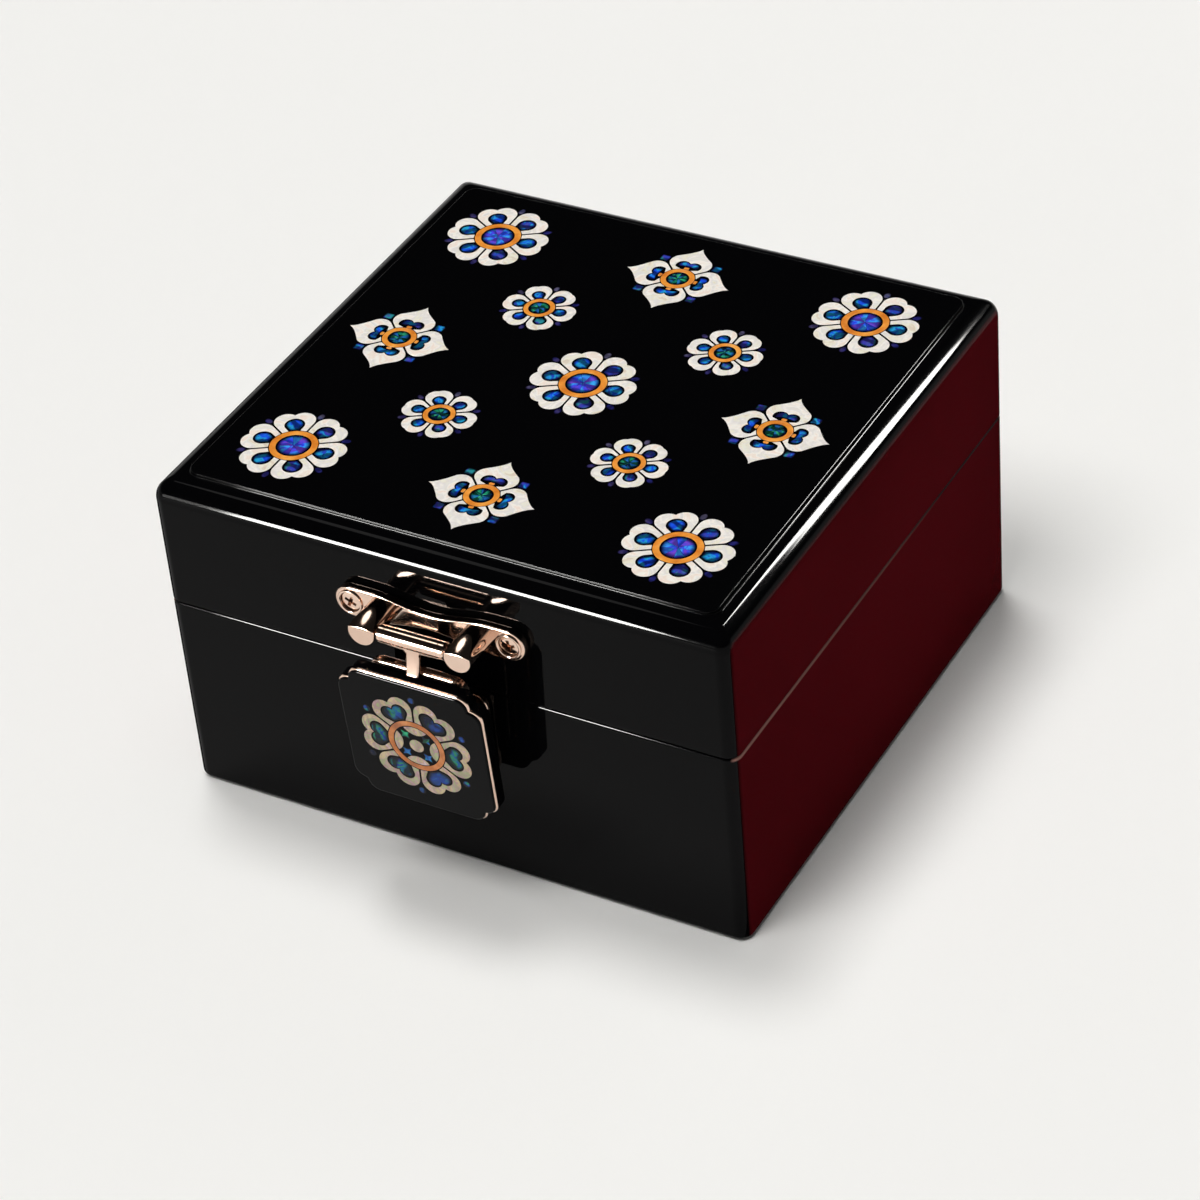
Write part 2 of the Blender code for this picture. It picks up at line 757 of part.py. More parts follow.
def bow_tie_outline():
    end = PLATE_SCREW_SPACING / 2
    count = 2 * PETAL_STEPS
    xs = [-PLATE_WAIST_REACH + 2 * PLATE_WAIST_REACH * i / count for i in range(count + 1)]
    bottom = [(x, -plate_half_height(x)) for x in xs]
    right = arc((end, 0.0), PLATE_END_RADIUS, -math.pi / 2, math.pi / 2, 2 * PETAL_STEPS)
    top = [(-x, -y) for x, y in bottom]
    left = [(-x, -y) for x, y in right]
    return bottom + right + top + left


def sloped_lug(x):
    """Round post with a flat that slopes down to its front end."""
    base = BOX_DEPTH / 2 + FIT + PLATE_THICKNESS / 2
    front = BOX_DEPTH / 2 + LUG_STANDOFF
    profile = [(LUG_RADIUS, base), (LUG_RADIUS, front - LUG_EDGE), (LUG_RADIUS - LUG_EDGE, front)]
    lug = turned(profile, LUG_SIDES, (x, 0.0))
    start = Vector((x, LUG_RADIUS, front - LUG_FLAT_REACH))
    slope = Vector((0.0, LUG_FLAT_REACH, LUG_FLAT_DROP))
    parts = lug.verts[:] + lug.edges[:] + lug.faces[:]
    bmesh.ops.bisect_plane(lug, geom=parts, plane_co=start, plane_no=slope, clear_outer=True)
    bmesh.ops.holes_fill(lug, edges=lug.edges[:])
    return lug


def hasp_plate():
    """Screwed plate with two posts that carry the hasp's pin."""
    base = BOX_DEPTH / 2 + FIT
    solids = [prism(bow_tie_outline(), base, PLATE_FACE)]
    for side in (-1, 1):
        centre = (side * PLATE_SCREW_SPACING / 2, 0.0)
        inner = PLATE_SCREW_HEAD + FIT
        solids.append(
            washer(
                inner + BOSS_RING_WIDTH, inner, base + PLATE_THICKNESS / 2, PLATE_FACE + BOSS_RING_RISE,
                LUG_SIDES, centre,
            )
        )
        solids.append(sloped_lug(side * LUG_SPACING / 2))
    plate = placed(fuse(solids), Matrix.Translation((0.0, 0.0, HASP_AXIS.z)) @ FACE_FRONT)
    return cut(cut(plate, plate_holes()), pin_bores())


def pin_bores():
    """Blind holes from the inner side of each post."""
    inner = LUG_SPACING / 2 - LUG_RADIUS - FIT
    depth = LUG_SPACING / 2 + LUG_RADIUS / 2 + FIT
    radius = HASP_PIN_RADIUS + FIT
    return gather([
        barrel(inner, depth, radius, HASP_AXIS.z, HASP_AXIS.y),
        barrel(-depth, -inner, radius, HASP_AXIS.z, HASP_AXIS.y),
    ])


def tongue_outline():
    """Stem that flares into the crossbar above and into the back plate behind the tile."""
    stem = STEM_WIDTH / 2
    half = HASP_BACK_WIDTH / 2
    top = -STEM_LENGTH
    bottom = top - HASP_BACK_HEIGHT
    radius = HASP_BACK_RADIUS
    flare_top = -CROSSBAR_RADIUS / 2
    flare = arc((stem + STEM_FILLET, flare_top - STEM_FILLET), STEM_FILLET, math.pi, math.pi / 2, PETAL_STEPS)
    right = [
        *arc((half - radius, bottom + radius), radius, -math.pi / 2, 0.0, PETAL_STEPS),
        *arc((half - radius, top - radius), radius, 0.0, math.pi / 2, PETAL_STEPS),
        (stem, top),
        *flare,
    ]
    left = [(-x, y) for x, y in reversed(right)]
    return right + left


def hasp_tongue():
    half = LUG_SPACING / 2 - LUG_RADIUS - FIT
    blade = prism(tongue_outline(), -TONGUE_THICKNESS / 2, TONGUE_THICKNESS / 2)
    tongue = fuse([placed(blade, FACE_FRONT), barrel(-half, half, CROSSBAR_RADIUS, 0.0, 0.0)])
    tongue = cut(tongue, barrel(-2 * half, 2 * half, HASP_PIN_RADIUS + FIT, 0.0, 0.0))
    back = -TONGUE_THICKNESS / 2
    pocket = turned(
        [(MAGNET_RADIUS + FIT, back - OVERRUN), (MAGNET_RADIUS + FIT, back + MAGNET_THICKNESS + FIT)],
        RING_SIDES, (0.0, -MAGNET_DROP),
    )
    return placed(cut(tongue, placed(pocket, FACE_FRONT)), LEANED)


def hasp_magnet():
    back = -TONGUE_THICKNESS / 2
    disc = turned(
        [(MAGNET_RADIUS, back), (MAGNET_RADIUS, back + MAGNET_THICKNESS)], RING_SIDES, (0.0, -MAGNET_DROP)
    )
    return placed(disc, LEANED @ FACE_FRONT)


def notched_square(inset):
    """Square whose corners are notched between two round shoulders, set in from the housing."""
    half = HOUSING_SIZE / 2 - inset
    notch = HOUSING_NOTCH
    points = []
    for quarter in range(4):
        corner = [
            *arc((half - notch, half - 2 * notch), notch, 0.0, math.pi / 2, NOTCH_STEPS),
            *arc((half - 2 * notch, half - notch), notch, 0.0, math.pi / 2, NOTCH_STEPS)[1:],
        ]
        points += turned_outline(corner, quarter * math.pi / 2)
    return points


def tile_housing():
    """Shallow metal tray that frames the tile."""
    floor = TILE_FRONT - TILE_THICKNESS - FIT
    tray = loft([
        at_height(notched_square(HOUSING_EDGE), HOUSING_BACK),
        at_height(notched_square(0.0), HOUSING_BACK + HOUSING_EDGE),
        at_height(notched_square(0.0), HOUSING_FRONT - HOUSING_EDGE / 2),
        at_height(notched_square(HOUSING_EDGE / 2), HOUSING_FRONT),
        at_height(notched_square(HOUSING_RIM), HOUSING_FRONT),
        at_height(notched_square(HOUSING_RIM), floor),
    ])
    return placed(tray, ON_HASP)


def clasp_tile():
    tile = prism(notched_square(HOUSING_RIM + FIT), TILE_FRONT - TILE_THICKNESS, TILE_FRONT)
    return placed(cut(tile, flower_recess(TILE_FLOWER, (0.0, 0.0), TILE_FRONT)), ON_HASP)


def build_tile_inlay(pearl, amber, axis):
    middle = (0.0, 0.0)
    piece("tile_rosette", placed(rosette(TILE_FLOWER, middle, TILE_FRONT), ON_HASP), pearl, axis)
    piece("tile_ring", placed(rosette_ring(TILE_FLOWER, middle, TILE_FRONT), ON_HASP), amber, axis)


def keeper_plate():
    """Plate on the base with a leaning boss that meets the hasp's magnet."""
    back = BOX_DEPTH / 2 + FIT
    outline = turned_outline(
        rounded_rectangle(KEEPER_WIDTH, KEEPER_HEIGHT, KEEPER_RADIUS), 0.0, (0.0, KEEPER_CENTRE)
    )
    plate = placed(prism(outline, back, KEEPER_FACE), FACE_FRONT)
    face = -TONGUE_THICKNESS / 2 - FIT
    radius = MAGNET_RADIUS + FIT + KEEPER_BOSS_WALL
    boss = turned([(radius, -HASP_AXIS_STANDOFF), (radius, face)], LUG_SIDES, (0.0, -MAGNET_DROP))
    keeper = fuse([plate, placed(boss, LEANED @ FACE_FRONT)])
    wood = block(-KEEPER_WIDTH, KEEPER_WIDTH, -back, 0.0, 0.0, BASE_TOP)
    seat = turned(
        [(MAGNET_RADIUS + FIT, face - STEEL_THICKNESS - FIT), (MAGNET_RADIUS + FIT, face + OVERRUN)],
        RING_SIDES, (0.0, -MAGNET_DROP),
    )
    return cut(cut(cut(keeper, wood), placed(seat, LEANED @ FACE_FRONT)), keeper_holes())


def keeper_steel():
    face = -TONGUE_THICKNESS / 2 - FIT
    disc = turned(
        [(MAGNET_RADIUS, face - STEEL_THICKNESS), (MAGNET_RADIUS, face)], RING_SIDES, (0.0, -MAGNET_DROP)
    )
    return placed(disc, LEANED @ FACE_FRONT)


def build_clasp(brass, steel, lid_axis, hasp_axis):
    pin_end = LUG_SPACING / 2 + LUG_RADIUS / 2
    profile = screw_profile(PLATE_FACE, PLATE_SCREW_HEAD, PLATE_SCREW_SHANK)
    piece("hasp_plate", hasp_plate(), brass, lid_axis)
    for name, place in zip(("left", "right"), PLATE_SCREW_PLACES):
        screw = placed(turned(profile, SCREW_SIDES, place), FACE_FRONT)
        piece("hasp_plate_screw_" + name, screw, brass, lid_axis)
    piece("hasp_pin", barrel(-pin_end, pin_end, HASP_PIN_RADIUS, HASP_AXIS.z, HASP_AXIS.y), steel, lid_axis)
    piece("hasp_tongue", hasp_tongue(), brass, hasp_axis)
    piece("hasp_magnet", hasp_magnet(), steel, hasp_axis)
    piece("tile_housing", tile_housing(), brass, hasp_axis)
    piece("keeper_plate", keeper_plate(), brass)
    piece("keeper_steel", keeper_steel(), steel)


def main():
    for old in list(bpy.data.objects):
        bpy.data.objects.remove(old)
    lacquer = finish("black_lacquer", (0.006, 0.006, 0.008), 0.08)
    velvet = finish("velvet", (0.20, 0.01, 0.03), 0.95)
    felt = finish("felt", (0.02, 0.02, 0.022), 0.95)
    brass = finish("rose_gold", (0.85, 0.62, 0.47), 0.15, 1.0)
    steel = finish("steel", (0.6, 0.6, 0.6), 0.3, 1.0)
    mirror = finish("mirror_glass", (0.9, 0.92, 0.93), 0.02, 1.0)
    pearl = finish("mother_of_pearl", (0.83, 0.78, 0.70), 0.2)
    amber = finish("amber_shell", (0.85, 0.38, 0.06), 0.25)

    lid_axis = joint_axis("lid_axis", Matrix.Translation(LID_AXIS))
    hasp_axis = joint_axis("hasp_axis", LEANED, lid_axis)

    piece("base_shell", base_shell(), lacquer)
    piece("underside_felt", underside_felt(), felt)
    build_lining(velvet)
    build_hinges(brass, lid_axis)
    piece("lid_shell", lid_shell(), lacquer, lid_axis)
    piece("lid_panel", lid_panel(), lacquer, lid_axis)
    build_lid_inlay(pearl, amber, lid_axis)
    build_lid_lining(velvet, mirror, lid_axis)
    build_clasp(brass, steel, lid_axis, hasp_axis)
    piece("clasp_tile", clasp_tile(), lacquer, hasp_axis)
    build_tile_inlay(pearl, amber, hasp_axis)


main()
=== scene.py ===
"""Looks of the lacquer jewelry box: lacquer, shell inlay, clasp, hinges, velvet and studio.

Metres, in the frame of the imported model: +Z up, front towards -Y.
"""

import json
from dataclasses import dataclass
from math import asin, atan2, cos, degrees, dist, exp, pi, radians, sin, sqrt, tan

import bmesh
import bpy
from mathutils import Matrix, Vector, noise


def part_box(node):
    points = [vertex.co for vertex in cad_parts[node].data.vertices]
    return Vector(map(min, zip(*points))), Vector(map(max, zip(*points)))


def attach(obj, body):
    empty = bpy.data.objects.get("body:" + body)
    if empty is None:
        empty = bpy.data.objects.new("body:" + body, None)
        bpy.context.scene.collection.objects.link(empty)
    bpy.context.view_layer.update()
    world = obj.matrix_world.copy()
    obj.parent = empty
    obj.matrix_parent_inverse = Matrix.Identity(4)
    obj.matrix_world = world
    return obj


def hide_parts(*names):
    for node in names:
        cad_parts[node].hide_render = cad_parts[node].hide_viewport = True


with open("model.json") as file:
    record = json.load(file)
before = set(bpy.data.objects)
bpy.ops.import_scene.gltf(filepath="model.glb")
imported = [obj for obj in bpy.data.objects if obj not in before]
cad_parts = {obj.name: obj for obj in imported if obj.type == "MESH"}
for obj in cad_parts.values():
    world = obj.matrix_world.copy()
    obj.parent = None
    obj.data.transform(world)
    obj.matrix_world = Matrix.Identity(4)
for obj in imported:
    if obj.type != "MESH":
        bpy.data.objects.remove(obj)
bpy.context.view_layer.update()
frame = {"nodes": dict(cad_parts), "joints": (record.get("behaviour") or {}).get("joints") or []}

MM = 0.001

# Box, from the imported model
BASE_LOW, BASE_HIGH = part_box("base_shell")
LID_LOW, LID_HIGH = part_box("lid_shell")
PANEL_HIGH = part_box("lid_panel")[1]
FELT_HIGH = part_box("underside_felt")[1]
WIDTH = BASE_HIGH.x - BASE_LOW.x
DEPTH = BASE_HIGH.y - BASE_LOW.y
FRONT = BASE_HIGH.y
PANEL_INSET = LID_HIGH.x - PANEL_HIGH.x
FIT = LID_LOW.z - BASE_HIGH.z
JOINTS = {joint["name"]: joint for joint in frame["joints"]}
LID_AXIS = Vector(JOINTS["lid_hinge"]["pos_m"])
HASP_AXIS = Vector(JOINTS["hasp_hinge"]["pos_m"])

# Box sections
WALL = 6.0 * MM
CORNER_RADIUS = 3.0 * MM
INNER_RADIUS = 1.5 * MM
SEAM_EDGE = 0.7 * MM
SEAM_ROUND = 0.9 * MM
LID_EDGE_SHARE = 0.3
FOOT_EDGE = 0.8 * MM
TOP_ROUND = 4.3 * MM
PANEL_RADIUS = 3.5 * MM
PANEL_START = 0.3 * MM
PANEL_FOOT = 0.36 * MM
PANEL_CROWN = 0.22 * MM
PANEL_STEEP = radians(80)
FLOOR_TOP = 6.5 * MM
ROOF_UNDERSIDE = 69.5 * MM
INLAY_PROUD = 0.05 * MM

# Inlay
INLAY_THICKNESS = 0.4 * MM
INLAY_EDGE = 0.04 * MM
INLAY_GAP = 0.22 * MM

# Looks of the lacquer and the shell
LACQUER_IOR = 1.15
# Painted reflection: side faces whose normal's X lies in this range get a dark red tone, darker by this share
# in large patches
RED_REFLECTION_FACING = (0.84, 0.995)
RED_REFLECTION_DARKER = 0.8
PEARL_START = 0.3
PEARL_SPAN = 0.4
ISLAND_MIX = 13.7
ISLAND_TURN = 7 * pi
PART_SHARE = 0.6
PEARL_ANGLE = radians(-3)

# Tones of the pearl, 0 to 255
PEARL_TONES = [
    (250, 245, 234), (247, 230, 216), (252, 247, 238), (234, 229, 225), (244, 240, 221), (230, 216, 196),
]
# The tile's pearl: its own pinker, yellower and greener tones, darker than the lid's pearl as painted shade
DULL_AND_SHADED_PEARL_TONES = [
    (206, 194, 192), (192, 150, 146), (204, 192, 138), (184, 150, 152), (164, 180, 124), (176, 138, 144),
    (190, 158, 156),
]

# Tones of the abalone, each after its place in the colour range
SHELL_TONES = [
    (0.0, 36, 30, 120), (0.14, 20, 60, 210), (0.3, 30, 90, 230), (0.42, 40, 170, 210),
    (0.52, 30, 70, 190), (0.66, 70, 60, 170), (0.8, 40, 150, 150), (1.0, 50, 40, 130),
]
BLUE_TONES = [
    (0.0, 50, 50, 210), (0.2, 50, 80, 245), (0.4, 60, 170, 245), (0.55, 60, 70, 235),
    (0.75, 120, 70, 205), (1.0, 50, 90, 235),
]
DUSK_TONES = [
    (0.0, 28, 24, 60), (0.25, 34, 36, 110), (0.5, 60, 52, 96), (0.75, 96, 92, 116), (1.0, 26, 46, 104),
]
GREEN_TONES = [
    (0.0, 12, 60, 70), (0.2, 20, 130, 100), (0.4, 60, 190, 130), (0.55, 20, 70, 130),
    (0.75, 40, 110, 190), (1.0, 30, 150, 140),
]
DEEP_TONES = [
    (0.0, 18, 40, 96), (0.18, 24, 74, 158), (0.3, 20, 104, 140), (0.4, 44, 140, 80),
    (0.5, 24, 64, 154), (0.8, 26, 60, 112), (1.0, 20, 92, 146),
]

# Clasp
HASP_LEAN = radians(4.2)
PLATE_THICKNESS = 1.8 * MM
PLATE_SCREW_SPACING = 35.8 * MM
PLATE_END_RADIUS = 3.5 * MM
PLATE_WAIST = 3.6 * MM
PLATE_WAIST_REACH = 13.5 * MM
PLATE_EDGE = 0.35 * MM
SCREW_HEAD = 2.1 * MM
SCREW_SEAT = 1.2 * MM
SCREW_SINK = 0.15 * MM
SCREW_DOME = [(0.35, -1.0), (0.98, -0.12), (1.0, 0.0), (0.7, 0.12), (0.2, 0.16)]
SCREW_TURNS = (0.35, 1.0)
SLOT_WIDTH_SHARE = 0.19
SLOT_REACH_SHARE = 0.7
SLOT_FOOT_SHARE = 0.8
RIM = 0.3 * MM
BOSS_RING = 0.6 * MM
BOSS_RISE = 0.4 * MM
LUG_RADIUS = 2.95 * MM
LUG_SPACING = 21.6 * MM
LUG_STANDOFF = 10.0 * MM
LUG_FLAT_REACH = 5.0 * MM
LUG_FLAT_DROP = 1.6 * MM
LUG_FLAT_BOW = 0.16 * MM
LUG_FLAT_CROWN = 10.0 * MM
LUG_EDGE = 0.18 * MM
CROSSBAR_RADIUS = 1.8 * MM
CROSSBAR_EDGE = 0.3 * MM
GROOVE = 0.12 * MM
GROOVE_INSET = 1.5 * MM
TONGUE_THICKNESS = 2.2 * MM
STEM_WIDTH = 3.2 * MM
STEM_FILLET = 3.0 * MM
STEM_LENGTH = 6.8 * MM
STEM_REACH = 1.5 * MM
STEM_CURVE = 1.4
STEM_ROUND = 0.6 * MM
HASP_BACK_WIDTH = 22.0 * MM
HASP_BACK_HEIGHT = 27.0 * MM
HASP_BACK_RADIUS = 3.0 * MM
HASP_BACK_EDGE = 0.6 * MM
HOUSING_SIZE = 33.0 * MM
HOUSING_TOP = 7.0 * MM
HOUSING_THICKNESS = 4.0 * MM
HOUSING_NOTCH = 2.7 * MM
HOUSING_EDGE = 0.4 * MM
TRAY_WALL = 0.5 * MM
HOUSING_RIM = 0.45 * MM
TILE_THICKNESS = 2.0 * MM
TILE_LIP = 0.22 * MM
TILE_SHIFT = (-0.13 * MM, -0.13 * MM)
TILE_ROUND = 0.38 * MM
HOUSING_BACK = TONGUE_THICKNESS / 2 + FIT
HOUSING_FRONT = HOUSING_BACK + HOUSING_THICKNESS
TILE_FRONT = HOUSING_FRONT - FIT
MAGNET_RADIUS = 4.0 * MM
MAGNET_DROP = 26.0 * MM
KEEPER_WIDTH = 22.0 * MM
KEEPER_HEIGHT = 21.0 * MM
KEEPER_RADIUS = 3.0 * MM
KEEPER_THICKNESS = 1.3 * MM
KEEPER_BOSS_WALL = 1.0 * MM
KEEPER_SCREW_SPACING = 16.4 * MM

# Hinges
HINGE_OFFSET = 36.0 * MM
LEAF_WIDTH = 16.0 * MM
LEAF_HEIGHT = 9.2 * MM
LEAF_THICKNESS = 1.0 * MM
LEAF_CORNER = 1.2 * MM
LEAF_SCREW_SPACING = 9.6 * MM
LEAF_SCREW_HEAD = 1.4 * MM
BARREL_RADIUS = 1.6 * MM
HINGE_PIN_RADIUS = 0.65 * MM
STOP_REACH = 1.1 * MM
STOP_THICKNESS = 0.7 * MM
PIN_HEAD_SHARE = 0.7
PIN_CROWN_SHARE = 0.9
LID_OPENING = radians(JOINTS["lid_hinge"]["range_deg"][1])

# Lining
CARD = 1.6 * MM
CARD_CORNER = 0.6 * MM
SIDE_STEPS = 48
PILE_WAVE = 11.0 * MM
PILE_FRACTAL = (0.6, 2.0, 3)
WAVE_SEED = 3
FLOOR_EDGE = 2.4 * MM
FLOOR_RIM_SHARE = 0.35
ROLL_SCALE = 25.0
ROLL_SLACK = -0.05
ROLL_END_DRAW = 0.16
ROLL_INSET = 0.45 * MM
ROLL_CAP = 0.5 * MM
ROLL_STEPS = 20
ROLL_AROUND = 18
ROLL_ALONG = 64
ROLL_SEAM = 2.2 * MM
ROLL_SEAM_DRAW = 0.04
PILE_STEP = 2.0 * MM
PILE_SWELL = 0.16 * MM
PAD_FILL = 0.9
CUSHION_FILL = 0.8
CARD_FILL = 1.0
FRAME_WIDTH = 9.0 * MM
FRAME_RADIUS = 2.0 * MM
FRAME_SIDE_SHARE = 0.55

# Faceting
CORNER_STEPS = 12
ROUND_STEPS = 14
EDGE_STEPS = 4
PETAL_STEPS = 14
ROUND_SIDES = 64
SMOOTH_ANGLE = radians(32)
PILE_ANGLE = radians(75)


def move(x, y, z):
    return Matrix.Translation((x, y, z))


def spin(angle, axis="Z"):
    return Matrix.Rotation(angle, 4, axis)


# Sketches are drawn in X and Y and raised along Z, then turned to face front or back
FACE_FRONT = spin(pi / 2, "X")
FACE_BACK = spin(pi) @ FACE_FRONT
ALONG_X = spin(pi / 2, "Y")
LEANED = move(*HASP_AXIS) @ spin(HASP_LEAN, "X")
ON_HASP = LEANED @ FACE_FRONT @ move(0.0, -HOUSING_TOP - HOUSING_SIZE / 2, 0.0)


# Outlines, counter-clockwise

def circle(radius, sides=ROUND_SIDES, centre=(0.0, 0.0)):
    return arc(centre, radius, 0.0, 2 * pi * (1 - 1 / sides), sides - 1)


def arc(centre, radius, start, end, steps):
    turns = [start + (end - start) * i / steps for i in range(steps + 1)]
    return [(centre[0] + radius * cos(a), centre[1] + radius * sin(a)) for a in turns]


def rounding(radius, steps, sweep=pi / 2):
    """Round edge as pairs (in, down): from (0, radius) on the side up to (radius, 0) on the top."""
    turns = [sweep * i / steps for i in range(steps + 1)]
    return [(radius * (1 - cos(a)), radius * (1 - sin(a))) for a in turns]


def rounded_rectangle(width, depth, radius, steps=CORNER_STEPS):
    x = width / 2 - radius
    y = depth / 2 - radius
    points = []
    for turn, centre in enumerate([(x, y), (-x, y), (-x, -y), (x, -y)]):
        start = turn * pi / 2
        points += arc(centre, radius, start, start + pi / 2, steps)
    return points


def oblong(left, right, low, high):
    """Rectangle between two X and two Y values."""
    return [(left, low), (right, low), (right, high), (left, high)]


def shifted(outline, centre):
    return [(centre[0] + x, centre[1] + y) for x, y in outline]


def turned_outline(outline, angle):
    c = cos(angle)
    s = sin(angle)
    return [(c * x - s * y, s * x + c * y) for x, y in outline]


def mirrored(upper):
    """Closes the upper half of an outline, given from the X axis round to its inner end."""
    return [(x, -y) for x, y in reversed(upper) if abs(y) > INLAY_EDGE / 100] + upper


def at_height(outline, height):
    return [(x, y, height) for x, y in outline]


def box_ring(inset, height):
    """Horizontal ring that follows the outside of the box, set in from it."""
    corner = max(CORNER_RADIUS - inset, INNER_RADIUS)
    return at_height(rounded_rectangle(WIDTH - 2 * inset, DEPTH - 2 * inset, corner), height)


def panel_ring(inset, height):
    inset_all = PANEL_INSET + inset
    outline = rounded_rectangle(WIDTH - 2 * inset_all, DEPTH - 2 * inset_all, PANEL_RADIUS - inset)
    return at_height(outline, height)


# Solids

def loft(rings, closed=False):
    """Closed solid through rings of equal length, capped at both ends unless it closes on itself."""
    solid = bmesh.new()
    rows = [[solid.verts.new(point) for point in ring] for ring in rings]
    count = len(rows[0])
    pairs = list(zip(rows, rows[1:]))
    if closed:
        pairs.append((rows[-1], rows[0]))
    for low, high in pairs:
        for i in range(count):
            j = (i + 1) % count
            solid.faces.new((low[i], low[j], high[j], high[i]))
    if not closed:
        solid.faces.new(list(reversed(rows[0])))
        solid.faces.new(rows[-1])
    return solid


def turned(profile, sides=ROUND_SIDES, centre=(0.0, 0.0)):
    """Solid of revolution about a vertical line, from (radius, height) pairs going up."""
    return loft([at_height(circle(radius, sides, centre), height) for radius, height in profile])


def washer(profile, sides=ROUND_SIDES, centre=(0.0, 0.0)):
    """Ring whose section is a closed list of (radius, height) pairs."""
    return loft([at_height(circle(radius, sides, centre), height) for radius, height in profile], closed=True)


def plate(outlines, low, high, edge, steps=1):
    """Flat solid with rounded rims; an outline inside another is a hole."""
    sketch = bpy.data.curves.new("sketch", "CURVE")
    sketch.dimensions = "2D"
    sketch.fill_mode = "BOTH"
    sketch.extrude = ((high - low) / 2 - edge) / MM
    sketch.bevel_depth = edge / MM
    sketch.bevel_resolution = steps
    sketch.offset = -edge / MM
    for outline in outlines:
        spline = sketch.splines.new("POLY")
        spline.points.add(len(outline) - 1)
        spline.use_cyclic_u = True
        for point, (x, y) in zip(spline.points, outline):
            point.co = (x / MM, y / MM, 0.0, 1.0)
    holder = bpy.data.objects.new("sketch", sketch)
    mesh = bpy.data.meshes.new_from_object(holder)
    solid = bmesh.new()
    solid.from_mesh(mesh)
    bpy.data.objects.remove(holder)
    bpy.data.curves.remove(sketch)
    bpy.data.meshes.remove(mesh)
    bmesh.ops.remove_doubles(solid, verts=solid.verts[:], dist=INLAY_EDGE / MM / 100)
    return placed(outward(solid), move(0.0, 0.0, (low + high) / 2) @ Matrix.Scale(MM, 4))


def placed(solid, matrix):
    solid.transform(matrix)
    return solid


def outward(solid):
    bmesh.ops.recalc_face_normals(solid, faces=solid.faces[:])
    return solid


def mesh_of(solid, name="scratch"):
    mesh = bpy.data.meshes.new(name)
    solid.to_mesh(mesh)
    solid.free()
    return mesh


def put(name, data):
    """New object, linked to the scene."""
    thing = bpy.data.objects.new(name, data)
    bpy.context.scene.collection.objects.link(thing)
    return thing


def joined(solids):
    """Several solids as one mesh."""
    whole = bmesh.new()
    for solid in solids:
        mesh = mesh_of(solid)
        whole.from_mesh(mesh)
        bpy.data.meshes.remove(mesh)
    return whole


def cleared(*helpers):
    """Removes scratch objects and their meshes."""
    for helper in helpers:
        mesh = helper.data
        bpy.data.objects.remove(helper)
        bpy.data.meshes.remove(mesh)


def combine(solid, tool, operation):
    """Exact Boolean of two solids: UNION or DIFFERENCE."""
    body = put("scratch", mesh_of(solid))
    cutter = put("scratch", mesh_of(tool))
    modifier = body.modifiers.new("combine", "BOOLEAN")
    modifier.operation = operation
    modifier.solver = "EXACT"
    modifier.object = cutter
    result = bmesh.new()
    result.from_object(body, bpy.context.evaluated_depsgraph_get())
    cleared(body, cutter)
    return result


def softened(solid, width, segments=2):
    """Rounds every edge sharper than the smoothing angle."""
    edges = [e for e in solid.edges if e.is_manifold and e.calc_face_angle() > SMOOTH_ANGLE]
    bmesh.ops.bevel(solid, geom=edges, offset=width, segments=segments, affect="EDGES", clamp_overlap=True,
                    profile=0.5)
    return solid


# Pieces

def show(name, solid, finish, body, stands_for=(), angle=SMOOTH_ANGLE):
    """New piece that rides on a body and stands for the named nodes."""
    mesh = mesh_of(solid, name)
    mesh.materials.append(finish.material)
    mesh.shade_smooth()
    mesh.set_sharp_from_angle(angle=angle)
    piece = put(name, mesh)
    normals = piece.modifiers.new("normals", "WEIGHTED_NORMAL")
    normals.keep_sharp = True
    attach(piece, body)
    if stands_for:
        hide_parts(*stands_for)
    return piece


def dress(node, finish):
    """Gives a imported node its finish, and smooth shading between its sharp edges."""
    piece = frame["nodes"][node]
    piece.data.materials.clear()
    piece.data.materials.append(finish.material)
    piece.data.shade_smooth()
    weld = piece.modifiers.new("weld", "WELD")
    weld.merge_threshold = INLAY_EDGE / 10
    split = piece.modifiers.new("split", "EDGE_SPLIT")
    split.split_angle = SMOOTH_ANGLE


# Finishes

